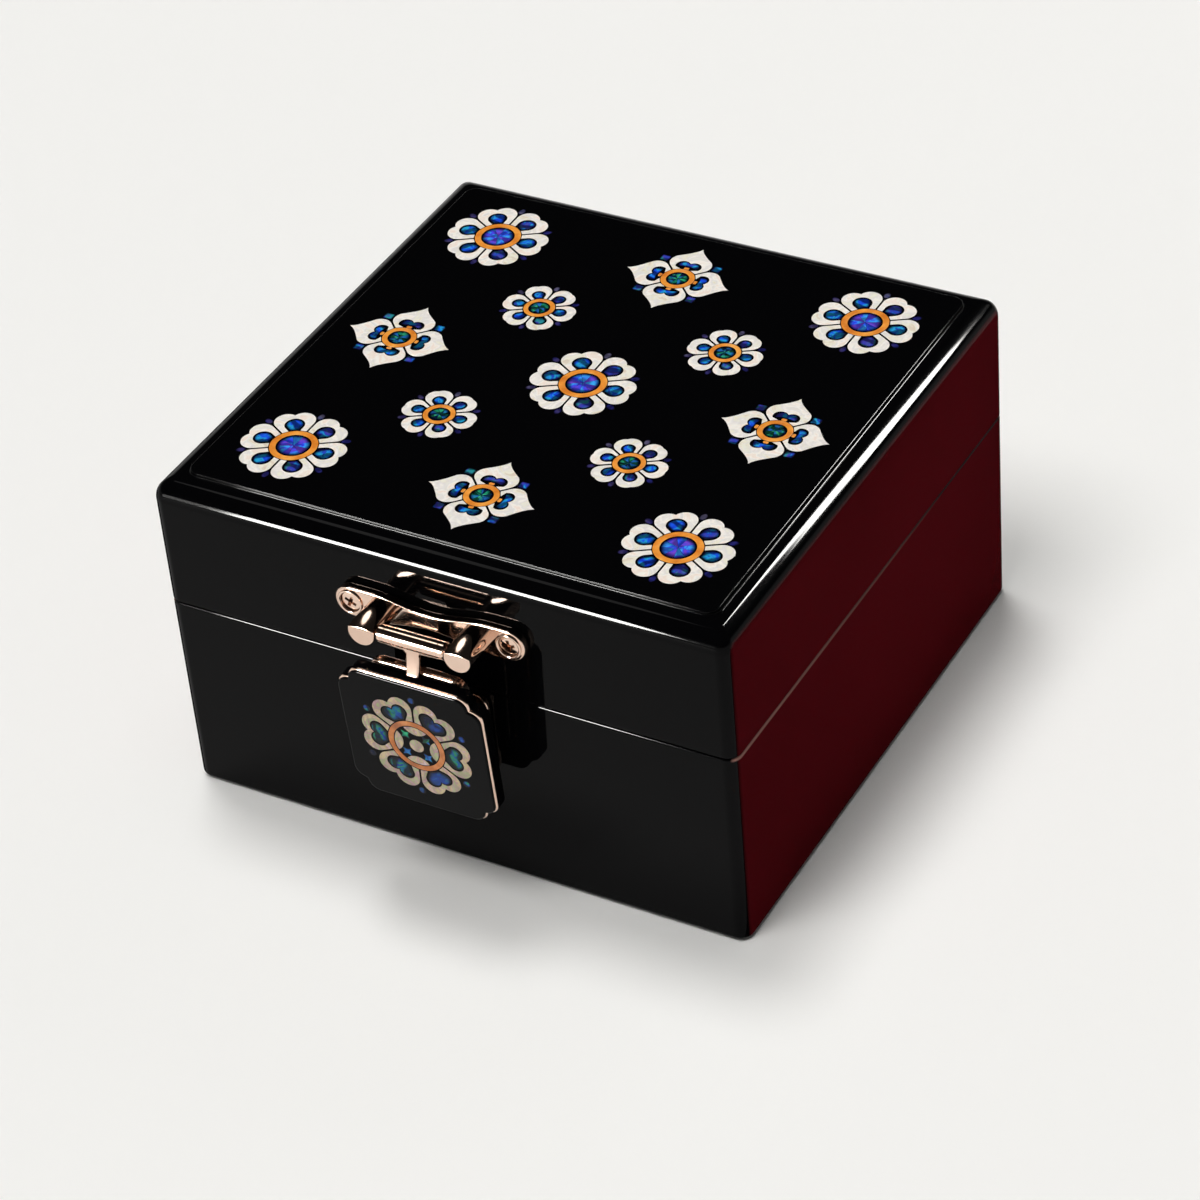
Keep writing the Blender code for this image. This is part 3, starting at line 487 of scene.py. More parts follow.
class Finish:
    """Principled material, with nodes added call by call."""

    def __init__(self, name, slot, colour, **inputs):
        self.slot = slot
        self.material = bpy.data.materials.new(name)
        self.material.diffuse_color = colour
        self.material.use_nodes = True
        self.tree = self.material.node_tree
        self.shader = self.tree.nodes["Principled BSDF"]
        self.set(Base_Color=colour, **inputs)

    def feed(self, socket, value):
        if isinstance(value, bpy.types.NodeSocket):
            self.tree.links.new(value, socket)
        else:
            socket.default_value = value

    def set(self, node=None, **inputs):
        """Feeds the named inputs of a node, or of the shader, with values or with other nodes' outputs."""
        for word, value in inputs.items():
            self.feed((node or self.shader).inputs[word.replace("_", " ")], value)

    def node(self, kind, settings=None, **inputs):
        node = self.tree.nodes.new("ShaderNode" + kind)
        for word, value in (settings or {}).items():
            setattr(node, word, value)
        self.set(node, **inputs)
        return node

    def place(self):
        """Coordinates in metres that stay with the piece."""
        return self.node("TexCoord").outputs["Object"]

    def grain(self, scale, detail=3.0, place=None, distortion=0.0):
        place = place or self.place()
        noise_node = self.node("TexNoise", Vector=place, Scale=scale, Detail=detail, Distortion=distortion)
        return noise_node.outputs["Fac"]

    def ramp(self, value, stops):
        """Colour ramp from (position, colour) pairs."""
        node = self.node("ValToRGB", Fac=value)
        fill_ramp(node.color_ramp, stops)
        return node.outputs["Color"]

    def spread(self, value, low, high, to_low=0.0, to_high=1.0, kind="LINEAR"):
        ranges = {"From_Min": low, "From_Max": high, "To_Min": to_low, "To_Max": to_high}
        return self.node("MapRange", {"interpolation_type": kind}, Value=value, **ranges).outputs["Result"]

    def math(self, a, b, operation="ADD"):
        node = self.node("Math", {"operation": operation})
        self.feed(node.inputs[0], a)
        self.feed(node.inputs[1], b)
        return node.outputs["Value"]

    def mix(self, share, a, b, blend="MIX"):
        node = self.node("Mix", {"data_type": "RGBA", "blend_type": blend})
        self.feed(node.inputs[0], share)
        self.feed(node.inputs[6], a)
        self.feed(node.inputs[7], b)
        return node.outputs[2]

    def bump(self, height, strength, distance):
        bump = self.node("Bump", Height=height, Strength=strength, Distance=distance)
        self.set(Normal=bump.outputs["Normal"])


def fill_ramp(ramp, stops):
    while len(ramp.elements) < len(stops):
        ramp.elements.new(1.0)
    for element, (position, colour) in zip(ramp.elements, stops):
        element.position = position
        element.color = colour


def srgb(red, green, blue):
    """Linear colour from 0 to 255 display values."""
    shares = [value / 255 for value in (red, green, blue)]
    return (*[v / 12.92 if v <= 0.04045 else ((v + 0.055) / 1.055) ** 2.4 for v in shares], 1.0)


BLACK = srgb(4, 4, 5)


def lacquer(name, slot, side_reflection_colour):
    """Polished lacquer, black, with a painted red reflection in the given colour on the two side faces and a
    painted highlight along the base's top edge at the seam.
    """
    finish = Finish(name, slot, BLACK, Roughness=0.05, IOR=LACQUER_IOR)
    # Painted reflection: dark red on the two side faces, set by their facing and their nearness to the sides,
    # darker in large patches
    normal = finish.node("SeparateXYZ", Vector=finish.node("TexCoord").outputs["Normal"])
    place = finish.node("SeparateXYZ", Vector=finish.place())
    facing = finish.math(normal.outputs["X"], 0.0, "ABSOLUTE")
    across = finish.math(place.outputs["X"], 0.0, "ABSOLUTE")
    flank = finish.spread(across, WIDTH / 2 - 2 * SEAM_EDGE, WIDTH / 2 - SEAM_EDGE)
    side = finish.math(finish.spread(facing, *RED_REFLECTION_FACING, kind="SMOOTHSTEP"), flank, "MULTIPLY")
    depth = finish.grain(9.0, 2.0)
    red = finish.mix(finish.spread(depth, 0.35, 0.65), side_reflection_colour, tuple(RED_REFLECTION_DARKER * c for c in side_reflection_colour))
    # Painted highlight: a pale pinkish-brown line along the base's top edge at the seam, on the side faces,
    # strongest at the front and fading out towards the back
    below = finish.math(BASE_HIGH.z, place.outputs["Z"], "SUBTRACT")
    under_seam = finish.spread(below, -FIT / 2, FIT / 2)
    edge = finish.math(under_seam, finish.spread(below, SEAM_EDGE, SEAM_EDGE / 2), "MULTIPLY")
    highlight_fade = finish.spread(place.outputs["Y"], -DEPTH / 2, DEPTH / 4, 0.9, 0.0)
    seam_highlight = finish.math(finish.math(edge, highlight_fade, "MULTIPLY"), flank, "MULTIPLY")
    painted = finish.mix(side, BLACK, red)
    finish.set(Base_Color=finish.mix(seam_highlight, painted, srgb(158, 116, 106)))
    finish.set(Roughness=finish.spread(finish.grain(45.0, 4.0), 0.3, 0.7, 0.035, 0.06))
    finish.bump(finish.grain(160.0, 2.0), 0.05, 0.02 * MM)
    return finish


def mother_of_pearl(name, tones, roughness, drift_scale, streak):
    """Shell plate: slow drifts between warm tones, with faint growth lines."""
    tones = [srgb(*tone) for tone in tones]
    finish = Finish(name, "mother_of_pearl", tones[0], Roughness=roughness, IOR=1.55)
    island = finish.node("NewGeometry").outputs["Random Per Island"]
    turn = finish.spread(island, 0.0, 1.0, 0.0, 2 * pi)
    place = finish.node("VectorRotate", {"rotation_type": "Z_AXIS"}, Vector=finish.place(), Angle=turn)
    drift = finish.grain(drift_scale, 4.0, place.outputs["Vector"], 1.2)
    stops = [(i / (len(tones) - 1) * PEARL_SPAN + PEARL_START, tone) for i, tone in enumerate(tones)]
    base = finish.ramp(drift, stops)
    lines = finish.node("TexWave", Vector=place.outputs["Vector"], Scale=260.0, Distortion=5.0, Detail=3.0)
    shade = finish.spread(lines.outputs["Fac"], 0.0, 1.0, 0.0, streak)
    finish.set(Base_Color=finish.mix(shade, base, tones[-1], "MULTIPLY"))
    finish.bump(lines.outputs["Fac"], 0.12, 0.03 * MM)
    return finish


def abalone(name, tones, wave_scale, dark_share, rim):
    """Iridescent shell: streaks of one part of the colour range over a dark ground, darkest at the rim."""
    stops = [(position, srgb(*tone)) for position, *tone in tones]
    finish = Finish(name, "mother_of_pearl", stops[1][1], Roughness=0.18, IOR=1.25)
    island = finish.node("NewGeometry").outputs["Random Per Island"]
    turn = finish.node("CombineXYZ", Z=finish.spread(island, 0.0, 1.0, 0.0, ISLAND_TURN)).outputs["Vector"]
    place = finish.node("VectorRotate", {"rotation_type": "EULER_XYZ"}, Vector=finish.place(), Rotation=turn)
    place = place.outputs["Vector"]
    waves = {"Scale": wave_scale, "Distortion": 6.0, "Detail": 2.5, "Detail_Scale": 1.3}
    bands = finish.node("TexWave", Vector=place, **waves).outputs["Fac"]
    drift = finish.spread(finish.grain(520.0, 2.0, place, 0.8), 0.3, 0.7, 0.0, 0.4)
    part = finish.math(finish.math(island, ISLAND_MIX, "MULTIPLY"), 1.0, "MODULO")
    colour = finish.ramp(finish.math(finish.math(part, PART_SHARE, "MULTIPLY"), drift), stops)
    dark = finish.mix(dark_share, srgb(2, 2, 8), colour)
    streak = finish.spread(bands, 0.25, 0.85, kind="SMOOTHSTEP")
    heart = finish.node("Attribute", {"attribute_name": "heart"}).outputs["Fac"]
    lit = finish.spread(heart, 0.0, rim, kind="SMOOTHSTEP")
    finish.set(Base_Color=finish.mix(lit, srgb(4, 4, 14), finish.mix(streak, dark, colour)))
    finish.bump(bands, 0.08, 0.03 * MM)
    return finish


def amber_shell(name, tones):
    """Warm shell, clouded between its tones."""
    tones = [srgb(*tone) for tone in tones]
    finish = Finish(name, "amber_shell", tones[1], Roughness=0.25, IOR=1.5)
    finish.set(Base_Color=finish.ramp(finish.grain(320.0, 3.0), list(zip((0.3, 0.55, 0.75), tones))))
    finish.bump(finish.grain(900.0), 0.08, 0.03 * MM)
    return finish


def metal(name, slot, tones, roughness):
    """Polished plate with faint clouding and fine polishing marks."""
    finish = Finish(name, slot, tones[0], Metallic=1.0, Roughness=roughness)
    finish.set(Base_Color=finish.ramp(finish.grain(90.0, 3.0), [(0.35, tones[0]), (0.65, tones[1])]))
    cloud = finish.grain(160.0, 5.0, distortion=0.5)
    finish.set(Roughness=finish.spread(cloud, 0.3, 0.7, roughness * 0.75, roughness * 1.35))
    marks = finish.node("Mapping", Vector=finish.place(), Scale=(400.0, 6000.0, 400.0)).outputs["Vector"]
    finish.bump(finish.grain(1.0, 2.0, marks), 0.03, 0.01 * MM)
    return finish


def velvet():
    """Short pile: lighter and darker patches in its colour are painted sheen, for pile that leans in
    different directions; fine specks darken it, and its tips catch the light in the sheen.
    """
    finish = Finish(
        "velvet", "velvet", srgb(104, 10, 26), Roughness=0.9, Sheen_Weight=0.32, Sheen_Roughness=0.35,
        Sheen_Tint=srgb(235, 96, 116),
    )
    sheen_patches = finish.grain(70.0, 4.0, distortion=0.8)
    pile = finish.grain(4200.0, 2.0)
    # Painted sheen: lighter and darker patches of the colour stand for pile that leans in different
    # directions
    tone = finish.ramp(sheen_patches, [(0.32, srgb(84, 6, 18)), (0.55, srgb(114, 12, 30)), (0.72, srgb(134, 20, 40))])
    finish.set(Base_Color=finish.mix(finish.spread(pile, 0.3, 0.7, 0.0, 0.5), tone, srgb(40, 2, 9)))
    finish.bump(finish.math(pile, finish.math(sheen_patches, 2.0, "MULTIPLY")), 0.5, 0.12 * MM)
    return finish


def felt():
    finish = Finish("felt", "felt", srgb(24, 24, 26), Roughness=0.95, Sheen_Weight=0.2, Sheen_Roughness=0.5)
    fibres = finish.grain(2600.0, 5.0, distortion=1.5)
    finish.set(Base_Color=finish.ramp(fibres, [(0.3, srgb(15, 15, 17)), (0.7, srgb(38, 38, 41))]))
    finish.bump(fibres, 0.6, 0.15 * MM)
    return finish


def mirror_glass():
    finish = Finish("mirror_glass", "mirror_glass", (0.9, 0.92, 0.93, 1.0), Metallic=1.0, Roughness=0.015)
    finish.set(Roughness=finish.spread(finish.grain(30.0, 4.0), 0.3, 0.7, 0.008, 0.02))
    return finish


# Box

def step(rise):
    """Steep step with a hollow foot and a round top, as (inset, rise) pairs."""
    turns = [PANEL_STEEP * i / ROUND_STEPS for i in range(ROUND_STEPS + 1)]
    foot = [(PANEL_FOOT * sin(a), PANEL_FOOT * (1 - cos(a))) for a in turns]
    crown = [(PANEL_CROWN * sin(a), PANEL_CROWN * (1 - cos(a))) for a in turns]
    width = foot[-1][0] + crown[-1][0] + (rise - foot[-1][1] - crown[-1][1]) / tan(PANEL_STEEP)
    return foot + [(width - x, rise - y) for x, y in reversed(crown)]


def build_shells(finish):
    """Base and lid in polished lacquer, the lid in one piece with its raised field."""
    rim = rounding(SEAM_ROUND, EDGE_STEPS, pi / 4)
    crest = BASE_HIGH.z + rim[-1][1]
    recess = BASE_HIGH.x - FELT_HIGH.x - FIT
    foot = BASE_LOW.z
    base = loft([
        box_ring(recess, FELT_HIGH.z + FIT),
        box_ring(recess, foot),
        *[box_ring(inset, foot + rise) for rise, inset in rounding(FOOT_EDGE, EDGE_STEPS)],
        *[box_ring(inset, crest - drop) for inset, drop in rim],
        box_ring(WALL - SEAM_EDGE / 2, BASE_HIGH.z),
        box_ring(WALL, BASE_HIGH.z - SEAM_EDGE / 2),
        box_ring(WALL, FLOOR_TOP),
    ])
    show("base_lacquer", base, finish, "base", ["base_shell"])
    top = LID_HIGH.z
    field = PANEL_HIGH.z - INLAY_PROUD
    share = LID_EDGE_SHARE
    edge = rounding(SEAM_EDGE, EDGE_STEPS)
    lid = loft([
        box_ring(WALL, ROOF_UNDERSIDE),
        box_ring(WALL, LID_LOW.z + SEAM_EDGE / 2),
        box_ring(WALL - SEAM_EDGE / 2, LID_LOW.z),
        *[box_ring(inset * share, LID_LOW.z + rise * share) for rise, inset in edge],
        *[box_ring(inset, top - drop) for inset, drop in rounding(TOP_ROUND, ROUND_STEPS)],
        *[panel_ring(PANEL_START + inset, top + rise) for inset, rise in step(field - top)],
    ])
    show("lid_lacquer", lid, finish, "lid", ["lid_shell", "lid_panel"])


# Rosettes

@dataclass(frozen=True)
class Flower:
    """Rosette: petals round a ring, each with two shoulders and an eye that opens to the ring."""

    petals: int
    lobe: float
    reach: float
    ring_outer: float
    ring_inner: float
    eye_place: float
    eye_side: float
    eye_radius: float
    eye_neck: float
    pointed: bool = False
    slit: float = 0.45 * MM


def in_mm(*values):
    return [value * MM for value in values]


LARGE = Flower(6, *in_mm(2.6, 8.75, 5.0, 3.65, 7.25, 0.0, 1.9, 1.0))
SMALL = Flower(6, *in_mm(2.2, 6.0, 3.35, 2.32, 4.9, 0.0, 1.3, 0.8))
STAR = Flower(4, *in_mm(2.6, 6.5, 3.65, 2.47, 5.05, 1.3, 1.4, 1.0), pointed=True)
TILE = Flower(6, *in_mm(2.7, 9.8, 6.4, 5.2, 8.75, 1.5, 1.6, 1.4))
TIP_BOW = 0.35 * MM
BOW_SKEW = 0.7
EYE_TURN = radians(125)
SHARD_GAP = 0.05 * MM
CORE_SHARDS = 9
WEDGE_STEPS = 6
TAB_WIDTH = 1.15 * MM
TAB_REACH = 0.75 * MM
EYE_GAP = 0.12 * MM
STONE_RISE = 0.04 * MM
GEM_SIZE = 2.1 * MM
GEM_PLACE = 8.7 * MM
GEM_ROUND = 0.35 * MM
DOT_SHARE = 0.3
DOT_PLACE_SHARE = 0.72
DOT_STRETCH = 1.5
TILE_DOT_PLACE = 12.4 * MM
TILE_DOT_RADIUS = 0.85 * MM
LENS_INNER = 3.0 * MM
LENS_HALF = radians(31)
BUD_RADIUS = 1.6 * MM
DIAMOND_PLACE = 3.35 * MM
DIAMOND_SIZE = 1.45 * MM
DIAMOND_WAIST = DIAMOND_SIZE * 0.48


def shoulder_centre(flower):
    """Centre of the upper shoulder of the petal that points along +X."""
    turn = pi / flower.petals - asin((flower.lobe + flower.slit / 2) / flower.reach)
    return flower.reach * cos(turn), flower.reach * sin(turn)


def bowed(start, end, bow, steps):
    """Points after start on a line to end that is drawn in by bow, most of it near the start."""
    length = dist(start, end)
    side = ((start[1] - end[1]) / length, (end[0] - start[0]) / length)
    points = []
    for i in range(1, steps):
        t = i / steps
        pull = bow * sin(pi * t ** BOW_SKEW)
        points.append((
            start[0] + (end[0] - start[0]) * t + side[0] * pull,
            start[1] + (end[1] - start[1]) * t + side[1] * pull,
        ))
    return points


def petal_edge(flower):
    """Upper outer edge of a petal, from the axis to the end of its shoulder."""
    x, y = shoulder_centre(flower)
    end = pi / flower.petals + pi / 2
    if not flower.pointed:
        return arc((x, y), flower.lobe, -asin(y / flower.lobe), end, PETAL_STEPS)
    tip = (x + y + flower.lobe * sqrt(2), 0.0)
    shoulder = arc((x, y), flower.lobe, pi / 4, end, PETAL_STEPS)
    return [tip, *bowed(tip, shoulder[0], TIP_BOW, PETAL_STEPS // 2), *shoulder]


def eye_edge(flower, grow, root):
    """Upper edge of an eye, from the axis round its lobe to its neck at the given radius."""
    radius = flower.eye_radius + grow
    cleft = -asin(flower.eye_side / radius)
    neck = asin((flower.eye_neck + grow) / root)
    edge = arc((flower.eye_place, flower.eye_side), radius, cleft, EYE_TURN, PETAL_STEPS)
    return [*edge, (root * cos(neck), root * sin(neck))]


def petals(flower):
    """Petals, each a sheet that wraps round its eye and ends at the ring."""
    root = flower.ring_outer + INLAY_GAP
    turn = pi / flower.petals - asin(flower.slit / 2 / root)
    foot = (root * cos(turn), root * sin(turn))
    outline = mirrored([*petal_edge(flower), foot, *reversed(eye_edge(flower, INLAY_GAP, root))])
    return around(outline, flower.petals)


def around(outline, count, start=0.0):
    """Copies of an outline turned evenly about the centre."""
    return [turned_outline(outline, start + 2 * pi * i / count) for i in range(count)]


def eyes(flower):
    """Stones in the petals; in a star they stop short of the amber tab."""
    root = flower.ring_outer + INLAY_GAP
    if flower.pointed:
        root += TAB_REACH + INLAY_GAP / 2
    edge = mirrored(eye_edge(flower, 0.0, root))
    x, y = middle_of(edge)
    share = 1 - EYE_GAP / flower.eye_radius
    return around([(x + (a - x) * share, y + (b - y) * share) for a, b in edge], flower.petals)


def shards(radius, count, start):
    """Disc split into wedges with hairline joints."""
    half = pi / count
    inner = SHARD_GAP / 2 / sin(half)
    turn = half - SHARD_GAP / 2 / radius
    wedge = [(inner, 0.0), *arc((0.0, 0.0), radius, -turn, turn, WEDGE_STEPS)]
    return around(wedge, count, start)


def rounded_square(size, place, angle):
    outline = rounded_rectangle(size, size, GEM_ROUND, EDGE_STEPS)
    return shifted(outline, (place * cos(angle), place * sin(angle)))


def lid_extras(flower):
    """Small stones round a rosette of the lid."""
    if flower.pointed:
        turns = [pi / 4 + pi / 2 * i for i in range(flower.petals)]
        return [rounded_square(GEM_SIZE, GEM_PLACE, turn) for turn in turns]
    place = flower.reach + flower.lobe * DOT_PLACE_SHARE
    size = flower.lobe * DOT_SHARE
    turns = [2 * pi * i / PETAL_STEPS for i in range(PETAL_STEPS)]
    drop = [(place + size * DOT_STRETCH * cos(a), size * sin(a)) for a in turns]
    return around(drop, flower.petals, pi / flower.petals)


def tabs(flower):
    """Small amber tabs between a star's ring and its eyes."""
    middle = flower.ring_outer + INLAY_GAP / 2 + TAB_REACH / 2
    tab = rounded_rectangle(TAB_REACH, TAB_WIDTH, TAB_REACH / 3, EDGE_STEPS)
    return around(shifted(tab, (middle, 0.0)), flower.petals)


def middle_of(outline):
    return [sum(values) / len(outline) for values in zip(*outline)]


def stones(outlines, surface):
    """Low cabochons cut to outlines, with a weight that rises from 0 at the rim to 1 at the heart."""
    solid = bmesh.new()
    heart = solid.verts.layers.float.new("heart")
    for outline in outlines:
        x, y = middle_of(outline)
        rows = []
        for height in (surface - INLAY_THICKNESS, surface - STONE_RISE):
            rows.append([solid.verts.new((a, b, height)) for a, b in outline])
        middle = solid.verts.new((x, y, surface))
        middle[heart] = 1.0
        for low, high in zip(rows, rows[1:]):
            for i in range(len(outline)):
                solid.faces.new((low[i - 1], low[i], high[i], high[i - 1]))
        for i in range(len(outline)):
            solid.faces.new((rows[-1][i - 1], rows[-1][i], middle))
        solid.faces.new(list(reversed(rows[0])))
    return solid


def facets(radius, count, start, surface):
    """Round stone of hairline wedges that meet in the middle, its heart raised."""
    solid = bmesh.new()
    heart = solid.verts.layers.float.new("heart")
    for wedge in shards(radius, count, start):
        low = [solid.verts.new((x, y, surface - INLAY_THICKNESS)) for x, y in wedge]
        high = [solid.verts.new((x, y, surface - STONE_RISE)) for x, y in wedge]
        high[0].co.z = surface
        high[0][heart] = 1.0
        for i in range(len(wedge)):
            solid.faces.new((low[i - 1], low[i], high[i], high[i - 1]))
        for i in range(1, len(wedge) - 1):
            solid.faces.new((high[0], high[i], high[i + 1]))
        solid.faces.new(list(reversed(low)))
    return solid


def sheet_of(outlines, surface, drop=0.0):
    return plate(outlines, surface - INLAY_THICKNESS, surface - drop, INLAY_EDGE)


def build_lid_rosettes(pearl, amber, shell, dusk, blue, green):
    surface = PANEL_HIGH.z
    for node, piece in frame["nodes"].items():
        kind = node.split("_")[0]
        if kind not in ("rosette", "star", "blossom") or node.endswith("_ring"):
            continue
        flower = {"rosette": LARGE, "star": STAR, "blossom": SMALL}[kind]
        low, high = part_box(node)
        at = move((low.x + high.x) / 2, (low.y + high.y) / 2, 0.0)
        start = atan2(low.y, low.x)
        ring = [circle(flower.ring_outer), circle(flower.ring_inner)]
        solids = [sheet_of(ring, surface)]
        if flower.pointed:
            solids.append(sheet_of(tabs(flower), surface, INLAY_EDGE / 2))
        middle = facets(flower.ring_inner - INLAY_GAP, CORE_SHARDS, start, surface)
        show(node + "_petals", placed(sheet_of(petals(flower), surface), at), pearl, "lid", [node])
        show(node + "_amber", placed(joined(solids), at), amber, "lid", [node + "_ring"])
        show(node + "_stones", placed(stones(eyes(flower), surface), at), shell, "lid")
        outer = shell if flower.pointed else dusk
        show(node + "_dots", placed(stones(lid_extras(flower), surface), at), outer, "lid")
        show(node + "_core", placed(middle, at), blue if flower is LARGE else green, "lid")


def lens():
    """Lens that lies along the inside of the tile's ring, on the +X side."""
    outer = TILE.ring_inner - INLAY_GAP
    ends = arc((0.0, 0.0), outer, -LENS_HALF, LENS_HALF, PETAL_STEPS)
    half = outer * sin(LENS_HALF)
    depth = outer * cos(LENS_HALF) - LENS_INNER
    radius = (half ** 2 + depth ** 2) / (2 * depth)
    sweep = asin(half / radius)
    back = arc((LENS_INNER + radius, 0.0), radius, pi - sweep, pi + sweep, PETAL_STEPS)
    return ends + back[1:-1]


def diamond(angle):
    """Square with drawn-in sides, its corners on the diagonals."""
    points = []
    for i in range(4):
        turn = angle + pi / 2 * i
        points.append((DIAMOND_SIZE * cos(turn), DIAMOND_SIZE * sin(turn)))
        turn += pi / 4
        points.append((DIAMOND_WAIST * cos(turn), DIAMOND_WAIST * sin(turn)))
    return shifted(points, (DIAMOND_PLACE * cos(angle), DIAMOND_PLACE * sin(angle)))


def build_tile(finish, pearl, amber, shell, green):
    """Lacquered tile with its rosette, drawn flat and then laid on the hasp."""
    surface = TILE_FRONT
    at = ON_HASP @ spin(PEARL_ANGLE)
    field = surface - INLAY_PROUD
    within = HOUSING_RIM + INLAY_EDGE
    lip = [(shifted(notched_square(TILE_LIP + inset), TILE_SHIFT), field - fall)
           for inset, fall in rounding(TILE_ROUND, EDGE_STEPS)]
    body = loft([
        housing_ring(within, surface - TILE_THICKNESS),
        housing_ring(within, field - TILE_ROUND),
        *[at_height(outline, height) for outline, height in lip],
    ])
    show("tile_lacquer", placed(body, ON_HASP), finish, "hasp", ["clasp_tile"])
    ring = [circle(TILE.ring_outer), circle(TILE.ring_inner)]
    leaves = [*petals(TILE), *around(lens(), 4), circle(BUD_RADIUS, PETAL_STEPS * 2)]
    dot = circle(TILE_DOT_RADIUS, PETAL_STEPS, (TILE_DOT_PLACE, 0.0))
    diamonds = [diamond(pi / 4 + pi / 2 * i) for i in range(4)]
    inset = [*eyes(TILE), *around(dot, 6, pi / 6)]
    show("tile_petals", placed(sheet_of(leaves, surface), at), pearl, "hasp", ["tile_rosette"])
    show("tile_amber", placed(sheet_of(ring, surface), at), amber, "hasp", ["tile_ring"])
    show("tile_stones", placed(stones(inset, surface), at), shell, "hasp")
    show("tile_diamonds", placed(stones(diamonds, surface), at), green, "hasp")


# Clasp

def notched_square(inset):
    """Square whose corners are notched between two round shoulders, set in from the housing."""
    half = HOUSING_SIZE / 2 - inset
    notch = HOUSING_NOTCH
    points = []
    for turn in range(4):
        corner = [
            *arc((half - notch, half - 2 * notch), notch, 0.0, pi / 2, EDGE_STEPS * 2),
            *arc((half - 2 * notch, half - notch), notch, 0.0, pi / 2, EDGE_STEPS * 2)[1:],
        ]
        points += turned_outline(corner, turn * pi / 2)
    return points


def housing_ring(inset, height):
    """Ring that follows the tile's housing, set in from it."""
    return at_height(notched_square(inset), height)


def phillips(radius, screw_at):
    """Countersunk head with a cross slot, its face up at the given place."""
    depth = radius / 2
    head = turned([(radius * out, depth * up) for out, up in SCREW_DOME], ROUND_SIDES // 2)
    width = radius * SLOT_WIDTH_SHARE
    reach = radius * SLOT_REACH_SHARE
    slot = oblong(-reach, reach, -width, width)
    foot = [(x * SLOT_FOOT_SHARE, y * SLOT_FOOT_SHARE) for x, y in slot]
    for turn in (pi / 4, 3 * pi / 4):
        arm = loft([at_height(foot, -depth * SLOT_FOOT_SHARE), at_height(slot, depth)])
        head = combine(head, placed(arm, spin(turn)), "DIFFERENCE")
    return placed(head, screw_at)


def bow_tie():
    """Plate outline: round ends that draw in to a waist."""
    def half_height(x):
        swell = (1 - cos(pi * min(abs(x) / PLATE_WAIST_REACH, 1.0))) / 2
        return PLATE_WAIST / 2 + (PLATE_END_RADIUS - PLATE_WAIST / 2) * swell

    count = 2 * PETAL_STEPS
    xs = [-PLATE_WAIST_REACH + 2 * PLATE_WAIST_REACH * i / count for i in range(count + 1)]
    bottom = [(x, -half_height(x)) for x in xs]
    end = (PLATE_SCREW_SPACING / 2, 0.0)
    right = arc(end, PLATE_END_RADIUS, -pi / 2, pi / 2, count)
    return bottom + right + [(-x, -y) for x, y in bottom] + [(-x, -y) for x, y in right]


def lug(x):
    """Round post whose top slopes down to its front end, buffed slightly round."""
    base = FRONT + FIT + PLATE_THICKNESS / 2
    front = FRONT + LUG_STANDOFF
    reach = LUG_FLAT_REACH - LUG_EDGE
    stations = [(base, 0.0)]
    stations += [(front - LUG_FLAT_REACH + reach * i / PETAL_STEPS, 0.0) for i in range(PETAL_STEPS + 1)]
    stations += [(front - back, inset) for inset, back in rounding(LUG_EDGE, EDGE_STEPS - 1)[1:]]
    rings = []
    for place, inset in stations:
        along = max(place - front + LUG_FLAT_REACH, 0.0) / LUG_FLAT_REACH
        top = LUG_RADIUS - LUG_FLAT_DROP * along + 4 * LUG_FLAT_BOW * along * (1 - along) - inset
        ring = []
        for across, up in circle(LUG_RADIUS - inset, 2 * ROUND_SIDES):
            ring.append((x + across, min(up, top - across ** 2 / (2 * LUG_FLAT_CROWN)), place))
        rings.append(ring)
    return loft(rings)


def boss(centre):
    """Raised ring round a screw."""
    inner = SCREW_HEAD + FIT / 2
    outer = inner + BOSS_RING
    low = FRONT + FIT + PLATE_THICKNESS / 2
    top = FRONT + FIT + PLATE_THICKNESS + BOSS_RISE
    crown = arc(((inner + outer) / 2, top - BOSS_RING / 2), BOSS_RING / 2, 0.0, pi, EDGE_STEPS * 2)
    return washer([(inner, low), (outer, low), *crown], ROUND_SIDES, centre)


def build_hasp_plate(finish, steel):
    base = FRONT + FIT
    face = base + PLATE_THICKNESS
    to_lid = move(0.0, 0.0, HASP_AXIS.z) @ FACE_FRONT
    solid = plate([bow_tie()], base, face, PLATE_EDGE, steps=4)
    ends = [(side * PLATE_SCREW_SPACING / 2, 0.0) for side in (-1, 1)]
    seat = [(SCREW_HEAD + FIT / 2, face - SCREW_SEAT), (SCREW_HEAD + FIT / 2, face + PLATE_THICKNESS)]
    for end in ends:
        solid = combine(solid, turned(seat, ROUND_SIDES, end), "DIFFERENCE")
    parts = [solid, *[boss(end) for end in ends], *[lug(side * LUG_SPACING / 2) for side in (-1, 1)]]
    show("clasp_plate", placed(joined(parts), to_lid), finish, "lid", ["hasp_plate"])
    for side, end, slant in zip(("left", "right"), ends, SCREW_TURNS):
        at = to_lid @ move(*end, face - SCREW_SINK) @ spin(slant)
        node = "hasp_plate_screw_" + side
        show("clasp_screw_" + side, phillips(SCREW_HEAD, at), finish, "lid", [node])
    dress("hasp_pin", steel)


def leaning_stem():
    """Front of the stem, which leans out until it stands on the tray."""
    start = -CROSSBAR_RADIUS
    end = -HOUSING_TOP - TRAY_WALL / 2
    section = rounded_rectangle(STEM_WIDTH, TONGUE_THICKNESS, STEM_ROUND, EDGE_STEPS)
    rings = []
    for i in range(PETAL_STEPS + 1):
        along = i / PETAL_STEPS
        forward = STEM_REACH * along ** STEM_CURVE
        rings.append([(x, start + (end - start) * along, z + forward) for x, z in section])
    return placed(outward(loft(rings)), LEANED @ FACE_FRONT)


